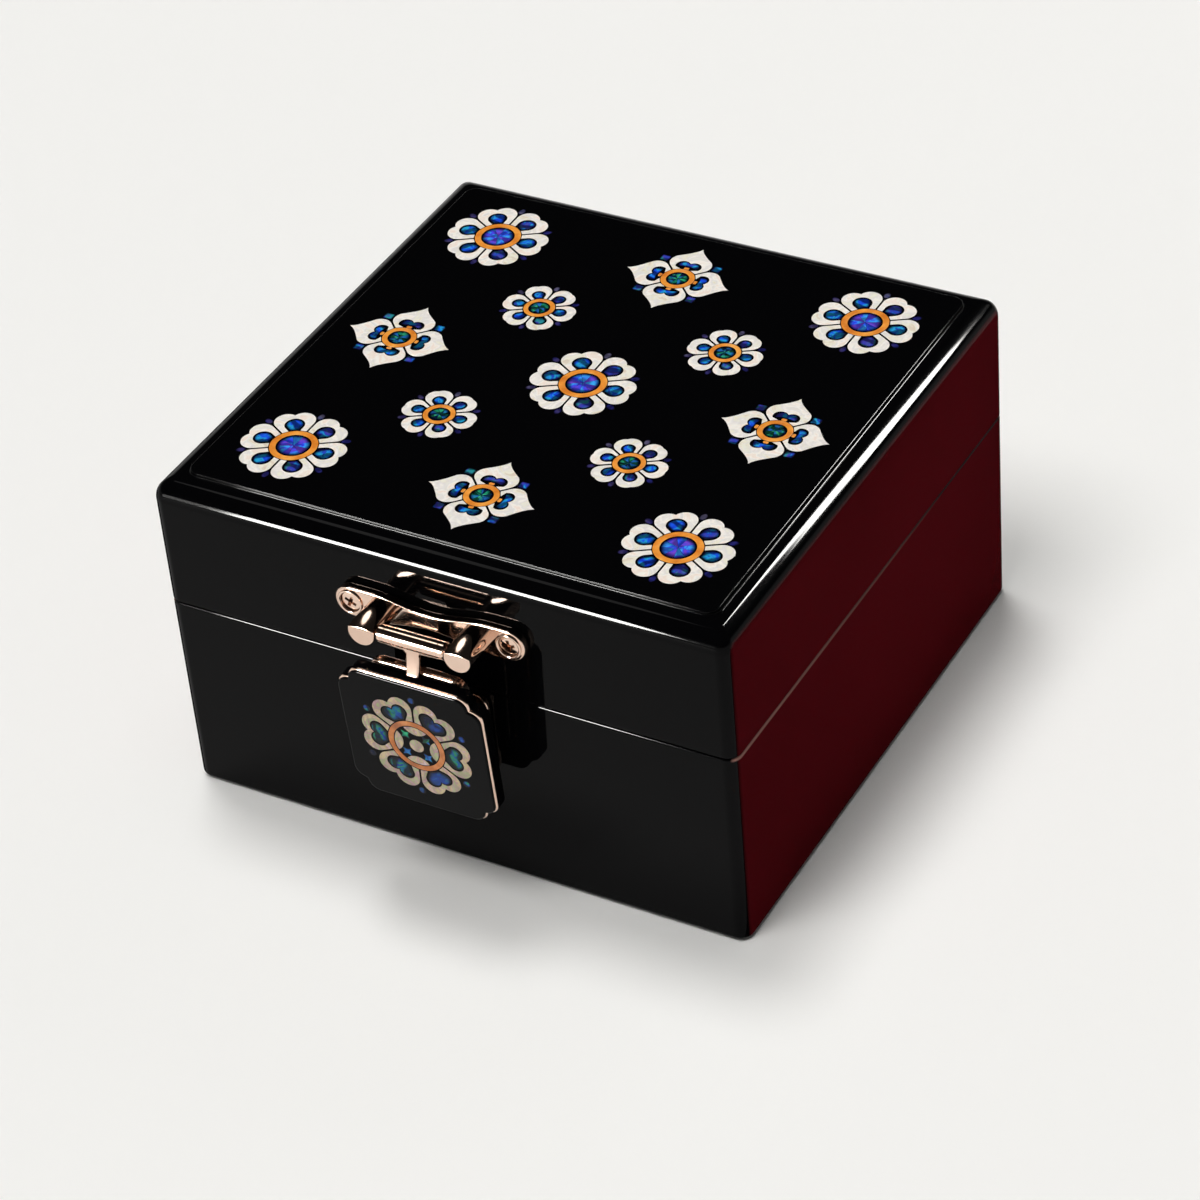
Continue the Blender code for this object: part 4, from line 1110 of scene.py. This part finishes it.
def build_hasp(finish, steel, shade_sleeve):
    """Crossbar on the pin, stem, back plate and the tray that frames the tile, with a black sleeve over the
    tray's walls as painted shade and dark reflection.
    """
    half = LUG_SPACING / 2 - LUG_RADIUS - FIT
    r = CROSSBAR_RADIUS
    edge = CROSSBAR_EDGE
    profile = [(r - edge, -half), (r, -half + edge)]
    for side in (-1, 1):
        at = side * (half - GROOVE_INSET)
        profile += [(r, at - GROOVE), (r - GROOVE, at), (r, at + GROOVE)]
    profile += [(r, half - edge), (r - edge, half)]
    bar = placed(turned(profile), LEANED @ ALONG_X)
    stem = STEM_WIDTH / 2
    wide = HASP_BACK_WIDTH / 2
    top = -STEM_LENGTH
    bottom = top - HASP_BACK_HEIGHT
    corner = HASP_BACK_RADIUS
    flare = arc((stem + STEM_FILLET, -r / 2 - STEM_FILLET), STEM_FILLET, pi, pi / 2, EDGE_STEPS * 2)
    right = [
        *arc((wide - corner, bottom + corner), corner, -pi / 2, 0.0, EDGE_STEPS * 2),
        *arc((wide - corner, top - corner), corner, 0.0, pi / 2, EDGE_STEPS * 2),
        (stem, top),
        *flare,
    ]
    outline = right + [(-x, y) for x, y in reversed(right)]
    half_blade = TONGUE_THICKNESS / 2
    blade = placed(plate([outline], -half_blade, half_blade, HASP_BACK_EDGE, steps=4), LEANED @ FACE_FRONT)
    show("clasp_tongue", joined([bar, blade, leaning_stem()]), finish, "hasp", ["hasp_tongue"])
    dress("hasp_magnet", steel)
    floor = TILE_FRONT - TILE_THICKNESS - FIT
    crown = TILE_FRONT - INLAY_PROUD - TILE_ROUND - INLAY_EDGE
    rim = [(inset, crown - fall) for inset, fall in rounding(HOUSING_RIM, EDGE_STEPS * 2)]
    neck = crown - HOUSING_RIM
    wall = [(TRAY_WALL, HOUSING_BACK), (TRAY_WALL, neck), *rim, (HOUSING_RIM, floor)]
    tray = loft([housing_ring(*place) for place in wall])
    show("tile_tray", placed(tray, ON_HASP), finish, "hasp", ["tile_housing"])
    # Painted shade and dark reflection: a black lacquer sleeve round the outside of the tray's walls
    seam = neck - INLAY_EDGE
    foot = [(inset, HOUSING_BACK + rise) for inset, rise in reversed(rounding(HOUSING_EDGE, EDGE_STEPS))]
    wall = [*foot, (0.0, seam), (TRAY_WALL, seam), (TRAY_WALL, HOUSING_BACK)]
    sleeve = outward(loft([housing_ring(*place) for place in wall], closed=True))
    show("tile_tray_shade_sleeve", placed(sleeve, ON_HASP), shade_sleeve, "hasp")


def build_keeper(finish, steel):
    """Plate on the base, its two screws and the leaning ring round the steel disc."""
    back = FRONT + FIT
    face = back + KEEPER_THICKNESS
    centre = BASE_HIGH.z - FIT - KEEPER_HEIGHT / 2
    outline = shifted(rounded_rectangle(KEEPER_WIDTH, KEEPER_HEIGHT, KEEPER_RADIUS), (0.0, centre))
    places = [(side * KEEPER_SCREW_SPACING / 2, centre) for side in (-1, 1)]
    holes = [circle(SCREW_HEAD + FIT / 2, ROUND_SIDES, place) for place in places]
    body = placed(plate([outline, *holes], back, face, RIM, steps=3), FACE_FRONT)
    seat = TONGUE_THICKNESS / 2 + FIT
    root = MAGNET_DROP * sin(HASP_LEAN) + HASP_AXIS.y + FRONT + FIT
    inner = MAGNET_RADIUS + FIT
    outer = inner + KEEPER_BOSS_WALL
    section = [(inner, root), (outer, root), (outer, -seat - RIM), (outer - RIM, -seat), (inner, -seat)]
    ring = placed(washer(section, ROUND_SIDES, (0.0, -MAGNET_DROP)), LEANED @ FACE_FRONT)
    show("keeper", joined([body, ring]), finish, "base", ["keeper_plate"])
    heads = []
    for turn, place in enumerate(places):
        spot = FACE_FRONT @ move(*place, face - RIM / 2) @ spin(turn)
        heads.append(phillips(SCREW_HEAD, spot))
    show("keeper_screws", joined(heads), finish, "base")
    dress("keeper_steel", steel)


# Hinges

def knuckle_spans():
    """Three barrel lengths across a hinge, as (start, end) from its middle."""
    length = (LEAF_WIDTH - 2 * FIT) / 3
    starts = [-LEAF_WIDTH / 2 + i * (length + FIT) for i in range(3)]
    return [(start, start + length) for start in starts]


def leaf_outline(spans):
    """Leaf above its axis, with a tab down to the axis at every knuckle."""
    near = BARREL_RADIUS + FIT
    far = near + LEAF_HEIGHT
    half = LEAF_WIDTH / 2
    edge = [(-half, near)]
    for start, end in spans:
        edge += [(start, near), (start, 0.0), (end, 0.0), (end, near)]
    edge.append((half, near))
    corner = LEAF_CORNER
    edge += arc((half - corner, far - corner), corner, 0.0, pi / 2, EDGE_STEPS)
    edge += arc((-half + corner, far - corner), corner, pi / 2, pi, EDGE_STEPS)
    return [point for point, last in zip(edge, [edge[-1], *edge]) if dist(point, last) > RIM / 10]


def knuckle(start, end, radius):
    """Barrel along X about the hinge's axis, its ends rounded."""
    edge = RIM / 2
    profile = [(radius - edge, start), (radius, start + edge), (radius, end - edge), (radius - edge, end)]
    return placed(turned(profile, ROUND_SIDES // 2), move(0.0, LID_AXIS.y, LID_AXIS.z) @ ALONG_X)


def stop_tab(start, end):
    """Tab on the lid leaf that meets the base leaf when the lid is open."""
    flank = LEAF_THICKNESS - BARREL_RADIUS + FIT
    foot = oblong(start, end, flank, flank + STOP_THICKNESS)
    tab = loft([at_height(foot, -BARREL_RADIUS - STOP_REACH), at_height(foot, -HINGE_PIN_RADIUS)])
    return placed(softened(tab, RIM / 3), move(*LID_AXIS) @ spin(LID_OPENING, "X"))


def leaf_piece(side, spans):
    """Leaf, knuckles and the two screws of the base side (-1) or the lid side (1)."""
    back = DEPTH / 2 + FIT
    face = back + LEAF_THICKNESS
    height = side * (BARREL_RADIUS + FIT + LEAF_HEIGHT / 2)
    places = [(end * LEAF_SCREW_SPACING / 2, height) for end in (-1, 1)]
    outline = turned_outline(leaf_outline(spans), 0.0 if side > 0 else pi)
    holes = [circle(LEAF_SCREW_HEAD + FIT / 2, ROUND_SIDES // 2, place) for place in places]
    at = move(0.0, 0.0, LID_AXIS.z) @ FACE_BACK
    leaf = [placed(plate([outline, *holes], back, face, RIM / 2, steps=2), at)]
    leaf += [knuckle(start, end, BARREL_RADIUS) for start, end in spans]
    heads = []
    for turn, place in enumerate(places):
        spot = at @ move(*place, face - RIM / 2) @ spin(turn + side / 2)
        heads.append(phillips(LEAF_SCREW_HEAD, spot))
    return leaf, joined(heads)


def hinge_pin():
    """Pin with a low round head over each end of the barrel."""
    half = LEAF_WIDTH / 2
    head = BARREL_RADIUS * PIN_HEAD_SHARE
    crown = head * PIN_CROWN_SHARE
    ends = [(head / 2, half + RIM), (crown, half + RIM / 2), (head, half), (HINGE_PIN_RADIUS, half)]
    profile = [(radius, -place) for radius, place in ends] + list(reversed(ends))
    return placed(turned(profile, ROUND_SIDES // 2), move(*LID_AXIS) @ ALONG_X)


def build_hinges(finish):
    first, middle, last = knuckle_spans()
    for name, sign in (("left", -1), ("right", 1)):
        shift = move(sign * HINGE_OFFSET, 0.0, 0.0)
        for side, body, spans in ((-1, "base", [first, last]), (1, "lid", [middle])):
            leaf, heads = leaf_piece(side, spans)
            if side > 0:
                leaf.append(stop_tab(*middle))
            title = f"{name}_{body}_leaf"
            show(title, placed(joined(leaf), shift), finish, body, [f"{name}_hinge_{body}_leaf"])
            show(title + "_screws", placed(heads, shift), finish, body)
        show(name + "_pin", placed(hinge_pin(), shift), finish, "base", [name + "_hinge_pin"])


# Lining

def soft_outline(width, depth, radius, count):
    """Rounded rectangle whose straight sides are divided, so that they can undulate."""
    corners = rounded_rectangle(width, depth, radius, EDGE_STEPS)
    points = []
    for i, (x, y) in enumerate(corners):
        far = corners[(i + 1) % len(corners)]
        steps = count if i % (EDGE_STEPS + 1) == EDGE_STEPS else 1
        points += [(x + (far[0] - x) * k / steps, y + (far[1] - y) * k / steps) for k in range(steps)]
    return points


def dip(point, seed=0.0):
    """Share, 0 to 1, by which cloth lies below its highest surface at a point."""
    spot = Vector(point) / PILE_WAVE + Vector((seed, seed * 0.7, 0.0))
    return min(max(0.5 + 0.5 * noise.fractal(spot, *PILE_FRACTAL), 0.0), 1.0)


def ruffle(solid, amount, seed=0.0):
    """Sinks every vertex a little along its normal, more in some places than in others."""
    solid.normal_update()
    moves = [(v, v.normal * -amount * dip(v.co, seed)) for v in solid.verts]
    for vertex, move in moves:
        vertex.co += move
    return solid


def upholster(name, solid, finish, body, node):
    piece = show(name, solid, finish, body, [node], angle=PILE_ANGLE)
    return piece


def wall_pad(low, high):
    """Velvet-covered card round the walls, both of its edges turned over."""
    wide = WIDTH / 2 - WALL - FIT
    deep = DEPTH / 2 - WALL - FIT
    half = CARD / 2
    turns = [pi * i / (2 * EDGE_STEPS) for i in range(2 * EDGE_STEPS + 1)]
    count = round((high - low) / PILE_STEP)
    inner = [(CARD, high - half - (high - low - CARD) * i / count) for i in range(1, count)]
    section = [(half * (1 - cos(a)), high - half + half * sin(a)) for a in turns]
    section += inner
    section += [(half * (1 + cos(a)), low + half - half * sin(a)) for a in turns]
    rings = []
    for inset, height in section:
        corner = max(INNER_RADIUS - inset, CARD_CORNER)
        outline = soft_outline(2 * (wide - inset), 2 * (deep - inset), corner, SIDE_STEPS)
        rings.append(at_height(outline, height))
    return loft(rings, closed=True)


def flat_pad(low, high, edge):
    """Thin pad on the floor of the well: a field that undulates, rolled down at its rim."""
    across = round((high.x - low.x) / PILE_STEP)
    along = round((high.y - low.y) / PILE_STEP)
    solid = bmesh.new()
    bmesh.ops.create_grid(solid, x_segments=across, y_segments=along, size=0.5)
    for v in solid.verts:
        x = low.x + (v.co.x + 0.5) * (high.x - low.x)
        y = low.y + (v.co.y + 0.5) * (high.y - low.y)
        inward = min(x - low.x, high.x - x, y - low.y, high.y - y) / edge
        swell = sqrt(max(1 - (1 - min(inward, 1.0)) ** 2, 0.0))
        v.co = (x, y, low.z + (high.z - low.z) * (FLOOR_RIM_SHARE + (1 - FLOOR_RIM_SHARE) * swell))
    skirt = bmesh.ops.extrude_edge_only(solid, edges=[e for e in solid.edges if e.is_boundary])
    lower = [v for v in skirt["geom"] if isinstance(v, bmesh.types.BMVert)]
    for v in lower:
        v.co.z = low.z
    bmesh.ops.holes_fill(solid, edges=[e for e in solid.edges if e.is_boundary])
    return outward(solid)


def strip(section, stations):
    """Section of (x, z) pairs run along Y; each station is (y, share of the section's size)."""
    middle = (min(x for x, _ in section) + max(x for x, _ in section)) / 2
    foot = min(z for _, z in section)
    rows = []
    for y, share in stations:
        rows.append([(middle + (x - middle) * share, y, foot + (z - foot) * share) for x, z in section])
    return outward(loft(rows))


def domed_section(left, right, low, high, radius, steps):
    """Upright strip with a round top, its sides divided."""
    count = round((high - radius - low) / PILE_STEP)
    rise = (high - radius - low) / count
    up = [(left, low + i * rise) for i in range(count)]
    turns = [pi * i / steps for i in range(steps + 1)]
    middle = (left + right) / 2
    half = (right - left) / 2
    dome = [(middle - half * cos(a), high - radius + radius * sin(a)) for a in turns]
    down = [(right, low + i * rise) for i in reversed(range(count))]
    return up + dome + down


def divider():
    low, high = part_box("well_divider")
    half = (high.x - low.x) / 2
    section = domed_section(low.x, high.x, low.z, high.z, half, 2 * EDGE_STEPS)
    count = round((high.y - low.y) / PILE_STEP)
    middle = [(low.y + (high.y - low.y) * i / count, 1.0) for i in range(1, count)]
    return strip(section, [(low.y, 1.0), *middle, (high.y, 1.0)])


def roll_blank(low, high):
    """Slack cover of a ring roll, a little smaller than the space it fills, with a seam near each end."""
    left = low.x + ROLL_INSET
    right = high.x - ROLL_INSET
    section = domed_section(left, right, low.z, high.z - ROLL_INSET, (right - left) / 2, ROLL_AROUND)
    start = low.y + ROLL_INSET
    end = high.y - ROLL_INSET
    stations = []
    for i in range(ROLL_ALONG + 1):
        y = start + (end - start) * i / ROLL_ALONG
        inward = min(y - start, end - y)
        share = 1.0 - ROLL_END_DRAW * max(1 - inward / ROLL_SEAM, 0.0) ** 2
        seam = exp(-((inward - ROLL_SEAM) / PILE_STEP * 2) ** 2)
        stations.append((y, share - ROLL_SEAM_DRAW * seam))
    return strip(section, stations)


def puffed(solid, low, high, seed):
    """Inflates a slack cover in a cloth simulation and keeps it inside its space."""
    mesh = mesh_of(solid)
    body = put("scratch", mesh)
    start = [v.co.copy() for v in mesh.vertices]
    for vertex in mesh.vertices:
        wave = noise.noise_vector(vertex.co / PILE_WAVE + Vector((seed, 0.0, 0.0)))
        vertex.co = (vertex.co + wave * ROLL_INSET / 3) * ROLL_SCALE
    held = body.vertex_groups.new(name="held")
    held.add([i for i, at in enumerate(start) if at.z < low.z + PILE_STEP], 1.0, "REPLACE")
    cloth = body.modifiers.new("cover", "CLOTH")
    cloth.settings.quality = 6
    cloth.settings.mass = 0.25
    cloth.settings.bending_stiffness = 0.4
    cloth.settings.use_pressure = True
    cloth.settings.uniform_pressure_force = 4.0
    cloth.settings.shrink_min = ROLL_SLACK
    cloth.settings.vertex_group_mass = held.name
    cloth.settings.effector_weights.gravity = 0.0
    cloth.point_cache.frame_start = 1
    cloth.point_cache.frame_end = ROLL_STEPS
    for step in range(1, ROLL_STEPS + 1):
        bpy.context.scene.frame_set(step)
    blown = body.evaluated_get(bpy.context.evaluated_depsgraph_get()).to_mesh()
    ends = [vertex.co / ROLL_SCALE for vertex in blown.vertices]
    body.to_mesh_clear()
    body.modifiers.remove(cloth)
    bpy.context.scene.frame_set(1)
    for vertex, at, end in zip(mesh.vertices, start, ends):
        move = end - at
        if move.length > ROLL_CAP:
            move *= ROLL_CAP / move.length
        spot = at + move
        vertex.co = [min(max(spot[i], low[i]), high[i]) for i in range(3)]
    result = bmesh.new()
    result.from_mesh(mesh)
    cleared(body)
    return result


def build_rolls(finish):
    """Ring rolls, their waves seeded, so that every run gives the same ones."""
    noise.seed_set(WAVE_SEED)
    for i in (1, 2, 3, 4):
        node = f"ring_roll_{i}"
        low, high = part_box(node)
        cover = roll_blank(low, high)
        cover = puffed(cover, low, high, i * 3.7)
        piece = upholster(f"roll_cover_{i}", cover, finish, "base", node)
        smooth = piece.modifiers.new("smooth", "SUBSURF")
        smooth.levels = 1
        smooth.render_levels = 1


def frame_pad():
    """Velvet-covered frame under the mirror, crowned downwards."""
    low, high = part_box("mirror_frame")
    width = high.x - low.x
    depth = high.y - low.y
    thick = high.z - low.z
    count = 2 * EDGE_STEPS
    section = [(0.0, high.z)]
    for i in range(count + 1):
        share = i / count
        swell = sqrt(1 - (2 * share - 1) ** 4)
        section.append((FRAME_WIDTH * share, low.z + thick * FRAME_SIDE_SHARE * (1 - swell)))
    section.append((FRAME_WIDTH, high.z))
    rings = []
    for inset, height in section:
        outline = soft_outline(width - 2 * inset, depth - 2 * inset, FRAME_RADIUS, SIDE_STEPS)
        rings.append(at_height(outline, height))
    return outward(loft(rings, closed=True))


def card(node, radius):
    """Covered card that fills its node's space, its rims rounded."""
    low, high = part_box(node)
    outline = soft_outline(high.x - low.x, high.y - low.y, radius, SIDE_STEPS)
    return plate([outline], low.z, high.z, (high.z - low.z) / 3, steps=3)


def build_lining(pile, silver, under):
    base_low, base_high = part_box("base_wall_lining")
    lid_low, lid_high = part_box("lid_wall_lining")
    pad_low, pad_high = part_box("base_floor_pad")
    base_walls = ruffle(wall_pad(base_low.z, base_high.z), PILE_SWELL)
    lid_walls = ruffle(wall_pad(lid_low.z, lid_high.z), PILE_SWELL, seed=5.0)
    field = ruffle(flat_pad(pad_low, pad_high, FLOOR_EDGE), 2 * PILE_SWELL, seed=9.0)
    for name, solid, body, node, fill in (
        ("base_lining", base_walls, "base", "base_wall_lining", PAD_FILL),
        ("lid_lining", lid_walls, "lid", "lid_wall_lining", PAD_FILL),
        ("floor_cushion", field, "base", "base_floor_pad", CUSHION_FILL),
        ("divider_cover", ruffle(divider(), PILE_SWELL, seed=13.0), "base", "well_divider", PAD_FILL),
        ("mirror_surround", ruffle(frame_pad(), PILE_SWELL, seed=17.0), "lid", "mirror_frame", PAD_FILL),
        ("mirror_backing_card", card("mirror_backing", INNER_RADIUS), "lid", "mirror_backing", CARD_FILL),
    ):
        upholster(name, solid, pile, body, node)
    upholster("foot_felt", card("underside_felt", CORNER_RADIUS), under, "base", "underside_felt")
    build_rolls(pile)
    dress("lid_mirror", silver)


# Studio

# Camera, fitted to the box's edges in the photograph; lengths in box widths
CAMERA_AZIMUTH = radians(31.7092)
CAMERA_ELEVATION = radians(37.595)
CAMERA_ROLL = radians(-5.3115)
CAMERA_DISTANCE_SHARE = 6.3788
CAMERA_ACROSS_SHARE = -0.0046
CAMERA_UP_SHARE = 0.1011
CAMERA_LENS_SHARE = 3.3004
SENSOR_MM = 36.0
FLOOR_SIZE = 12.0
PALE = srgb(244, 243, 240)
HORIZON = 0.9
CEILING = 0.012
PANEL_DISTANCE = 1.5


def bearing(azimuth, elevation):
    """Unit vector towards a compass direction: azimuth 0 is the front, 90 the right side."""
    a = radians(azimuth)
    e = radians(elevation)
    return Vector((sin(a) * cos(e), -cos(a) * cos(e), sin(e)))


def build_camera():
    back = bearing(degrees(CAMERA_AZIMUTH), degrees(CAMERA_ELEVATION))
    right = Vector((cos(CAMERA_AZIMUTH), sin(CAMERA_AZIMUTH), 0.0))
    up = back.cross(right)
    across = right * cos(CAMERA_ROLL) + up * sin(CAMERA_ROLL)
    above = up * cos(CAMERA_ROLL) - right * sin(CAMERA_ROLL)
    target = Vector((0.0, 0.0, LID_HIGH.z / 2))
    offset = back * CAMERA_DISTANCE_SHARE - across * CAMERA_ACROSS_SHARE - above * CAMERA_UP_SHARE
    place = target + WIDTH * offset
    data = bpy.data.cameras.new("camera")
    data.sensor_width = SENSOR_MM
    data.sensor_fit = "HORIZONTAL"
    data.lens = SENSOR_MM * CAMERA_LENS_SHARE
    data.clip_start = WIDTH / 10
    data.clip_end = FLOOR_SIZE * 2
    camera = put("camera", data)
    camera.matrix_world = Matrix((
        (across.x, above.x, back.x, place.x),
        (across.y, above.y, back.y, place.y),
        (across.z, above.z, back.z, place.z),
        (0.0, 0.0, 0.0, 1.0),
    ))
    bpy.context.scene.camera = camera


def sun(name, azimuth, elevation, strength, angle):
    """Soft sun that leaves no spot in the gloss."""
    data = bpy.data.lights.new(name, "SUN")
    data.energy = strength
    data.angle = radians(angle)
    key = put(name, data)
    key.rotation_mode = "QUATERNION"
    key.rotation_quaternion = bearing(azimuth, elevation).to_track_quat("Z", "Y")
    key.visible_glossy = False


def flat(name, corners, finish):
    """Single flat face, for the studio."""
    mesh = bpy.data.meshes.new(name)
    mesh.from_pydata(corners, [], [tuple(range(len(corners)))])
    mesh.materials.append(finish.material)
    return put(name, mesh)


def gloss_only(piece):
    """Keeps a light panel or dark card to reflections."""
    piece.visible_camera = False
    piece.visible_diffuse = False
    piece.visible_transmission = False
    piece.visible_shadow = False


def light_panel(name, corners, radiance):
    """Glowing panel seen in the gloss only, its corners given as bearings from the lid."""
    centre = Vector((0.0, 0.0, LID_HIGH.z))
    points = [centre + bearing(*corner) * PANEL_DISTANCE for corner in corners]
    finish = Finish(name, None, (0.0, 0.0, 0.0, 1.0), Emission_Color=PALE, Emission_Strength=radiance)
    gloss_only(flat(name, points, finish))


def dark_card(name, left, right):
    """Card on the floor beside the box that keeps the floor out of the side faces' gloss."""
    corners = at_height(oblong(left, right, -DEPTH / 2, DEPTH * 2), BASE_LOW.z / 4)
    finish = Finish(name, None, srgb(12, 11, 11), Roughness=1.0, IOR=1.0)
    gloss_only(flat(name, corners, finish))


def build_lights():
    sun("back_key", -132, 74, strength=1.13, angle=16)
    sun("front_key", -20, 65, strength=1.46, angle=28)
    sun("ceiling", 0, 90, strength=0.48, angle=40)
    front_corners = [(-30.4, 1), (-21.8, 0.8), (-20.7, 6.5), (-22.3, 12.5), (-31, 13.5)]
    light_panel("front_left_panel", front_corners, radiance=300.0)
    fringe_corners = [(-36, 2), (-30.5, 2), (-31.1, 12.5), (-36, 12.5)]
    light_panel("front_left_fringe", fringe_corners, radiance=9.0)
    right_corners = [
        (142.5, 26.7), (143.4, 23.9), (144.1, 23.3), (147.2, 27.05), (150.7, 31), (152.5, 32.6), (158.5, 38),
        (167, 42.8), (178, 46.5), (178, 49), (148, 36.5),
    ]
    light_panel("back_right_panel", right_corners, radiance=170.0)
    left_corners = [
        (-106, 68), (-91, 67), (-87, 63), (-94, 58), (-104, 55), (-113, 55), (-119, 58), (-118, 64),
    ]
    light_panel("left_panel", left_corners, radiance=2.5)
    dark_card("right_card", WIDTH / 2, WIDTH * 3)
    dark_card("left_card", -WIDTH * 3, -WIDTH / 2)


def build_world():
    """Pale near the horizon and dark above, as in a studio with a dark ceiling."""
    world = bpy.data.worlds.new("studio")
    world.use_nodes = True
    bpy.context.scene.world = world
    tree = world.node_tree
    place = tree.nodes.new("ShaderNodeTexCoord")
    parts = tree.nodes.new("ShaderNodeSeparateXYZ")
    ramp = tree.nodes.new("ShaderNodeValToRGB")
    tree.links.new(place.outputs["Generated"], parts.inputs["Vector"])
    tree.links.new(parts.outputs["Z"], ramp.inputs["Fac"])
    tree.links.new(ramp.outputs["Color"], tree.nodes["Background"].inputs["Color"])
    stops = [(0.0, HORIZON), (0.16, HORIZON), (0.30, CEILING), (1.0, CEILING)]
    red, green, blue = PALE[:3]
    fill_ramp(ramp.color_ramp, [(at, (v * red, v * green, v * blue, 1.0)) for at, v in stops])


def build_floor():
    half = FLOOR_SIZE / 2
    finish = Finish("floor_paper", None, PALE, Roughness=0.9, IOR=1.3)
    floor = flat("floor", at_height(oblong(-half, half, -half, half), 0.0), finish)


def main():
    # The dark red given here is the painted reflection on the side faces
    black = lacquer("black_lacquer", "black_lacquer", srgb(80, 14, 20))
    tile_black = lacquer("tile_lacquer", "tile_lacquer", BLACK)
    pearl = mother_of_pearl("mother_of_pearl", PEARL_TONES, roughness=0.2, drift_scale=230.0, streak=0.1)
    # Pearl of the tile: its own tones, darkened as painted shade
    dull_and_shaded_pearl = mother_of_pearl(
        "dull_and_shaded_pearl", DULL_AND_SHADED_PEARL_TONES, roughness=0.15, drift_scale=330.0, streak=0.3,
    )
    shell = abalone("abalone", SHELL_TONES, wave_scale=120.0, dark_share=0.22, rim=0.45)
    blue = abalone("blue_abalone", BLUE_TONES, wave_scale=90.0, dark_share=0.45, rim=0.35)
    dusk = abalone("dusk_abalone", DUSK_TONES, wave_scale=150.0, dark_share=0.5, rim=0.5)
    green = abalone("green_abalone", GREEN_TONES, wave_scale=130.0, dark_share=0.12, rim=0.4)
    deep = abalone("deep_abalone", DEEP_TONES, wave_scale=170.0, dark_share=0.1, rim=0.4)
    amber = amber_shell("amber_shell", [(214, 120, 34), (240, 152, 54), (250, 178, 84)])
    # Painted shade: a darker copy of the amber, for the upright tile, which stands in shade
    shaded_amber = amber_shell("shaded_amber_shell", [(160, 84, 28), (196, 112, 44), (222, 146, 78)])
    gold = metal("rose_gold", "rose_gold", [(0.80, 0.60, 0.49, 1.0), (0.74, 0.53, 0.42, 1.0)], 0.09)
    steel = metal("steel", "steel", [(0.62, 0.60, 0.58, 1.0), (0.55, 0.54, 0.53, 1.0)], 0.22)

    build_shells(black)
    build_lid_rosettes(pearl, amber, shell, dusk, blue, green)
    build_tile(tile_black, dull_and_shaded_pearl, shaded_amber, deep, green)
    build_hasp_plate(gold, steel)
    # The black lacquer here also makes the sleeve of painted shade on the tray's walls
    build_hasp(gold, steel, tile_black)
    build_keeper(gold, steel)
    build_hinges(gold)
    build_lining(velvet(), mirror_glass(), felt())

    build_world()
    build_floor()
    build_lights()
    build_camera()
    bpy.context.scene.view_settings.view_transform = "Standard"


main()
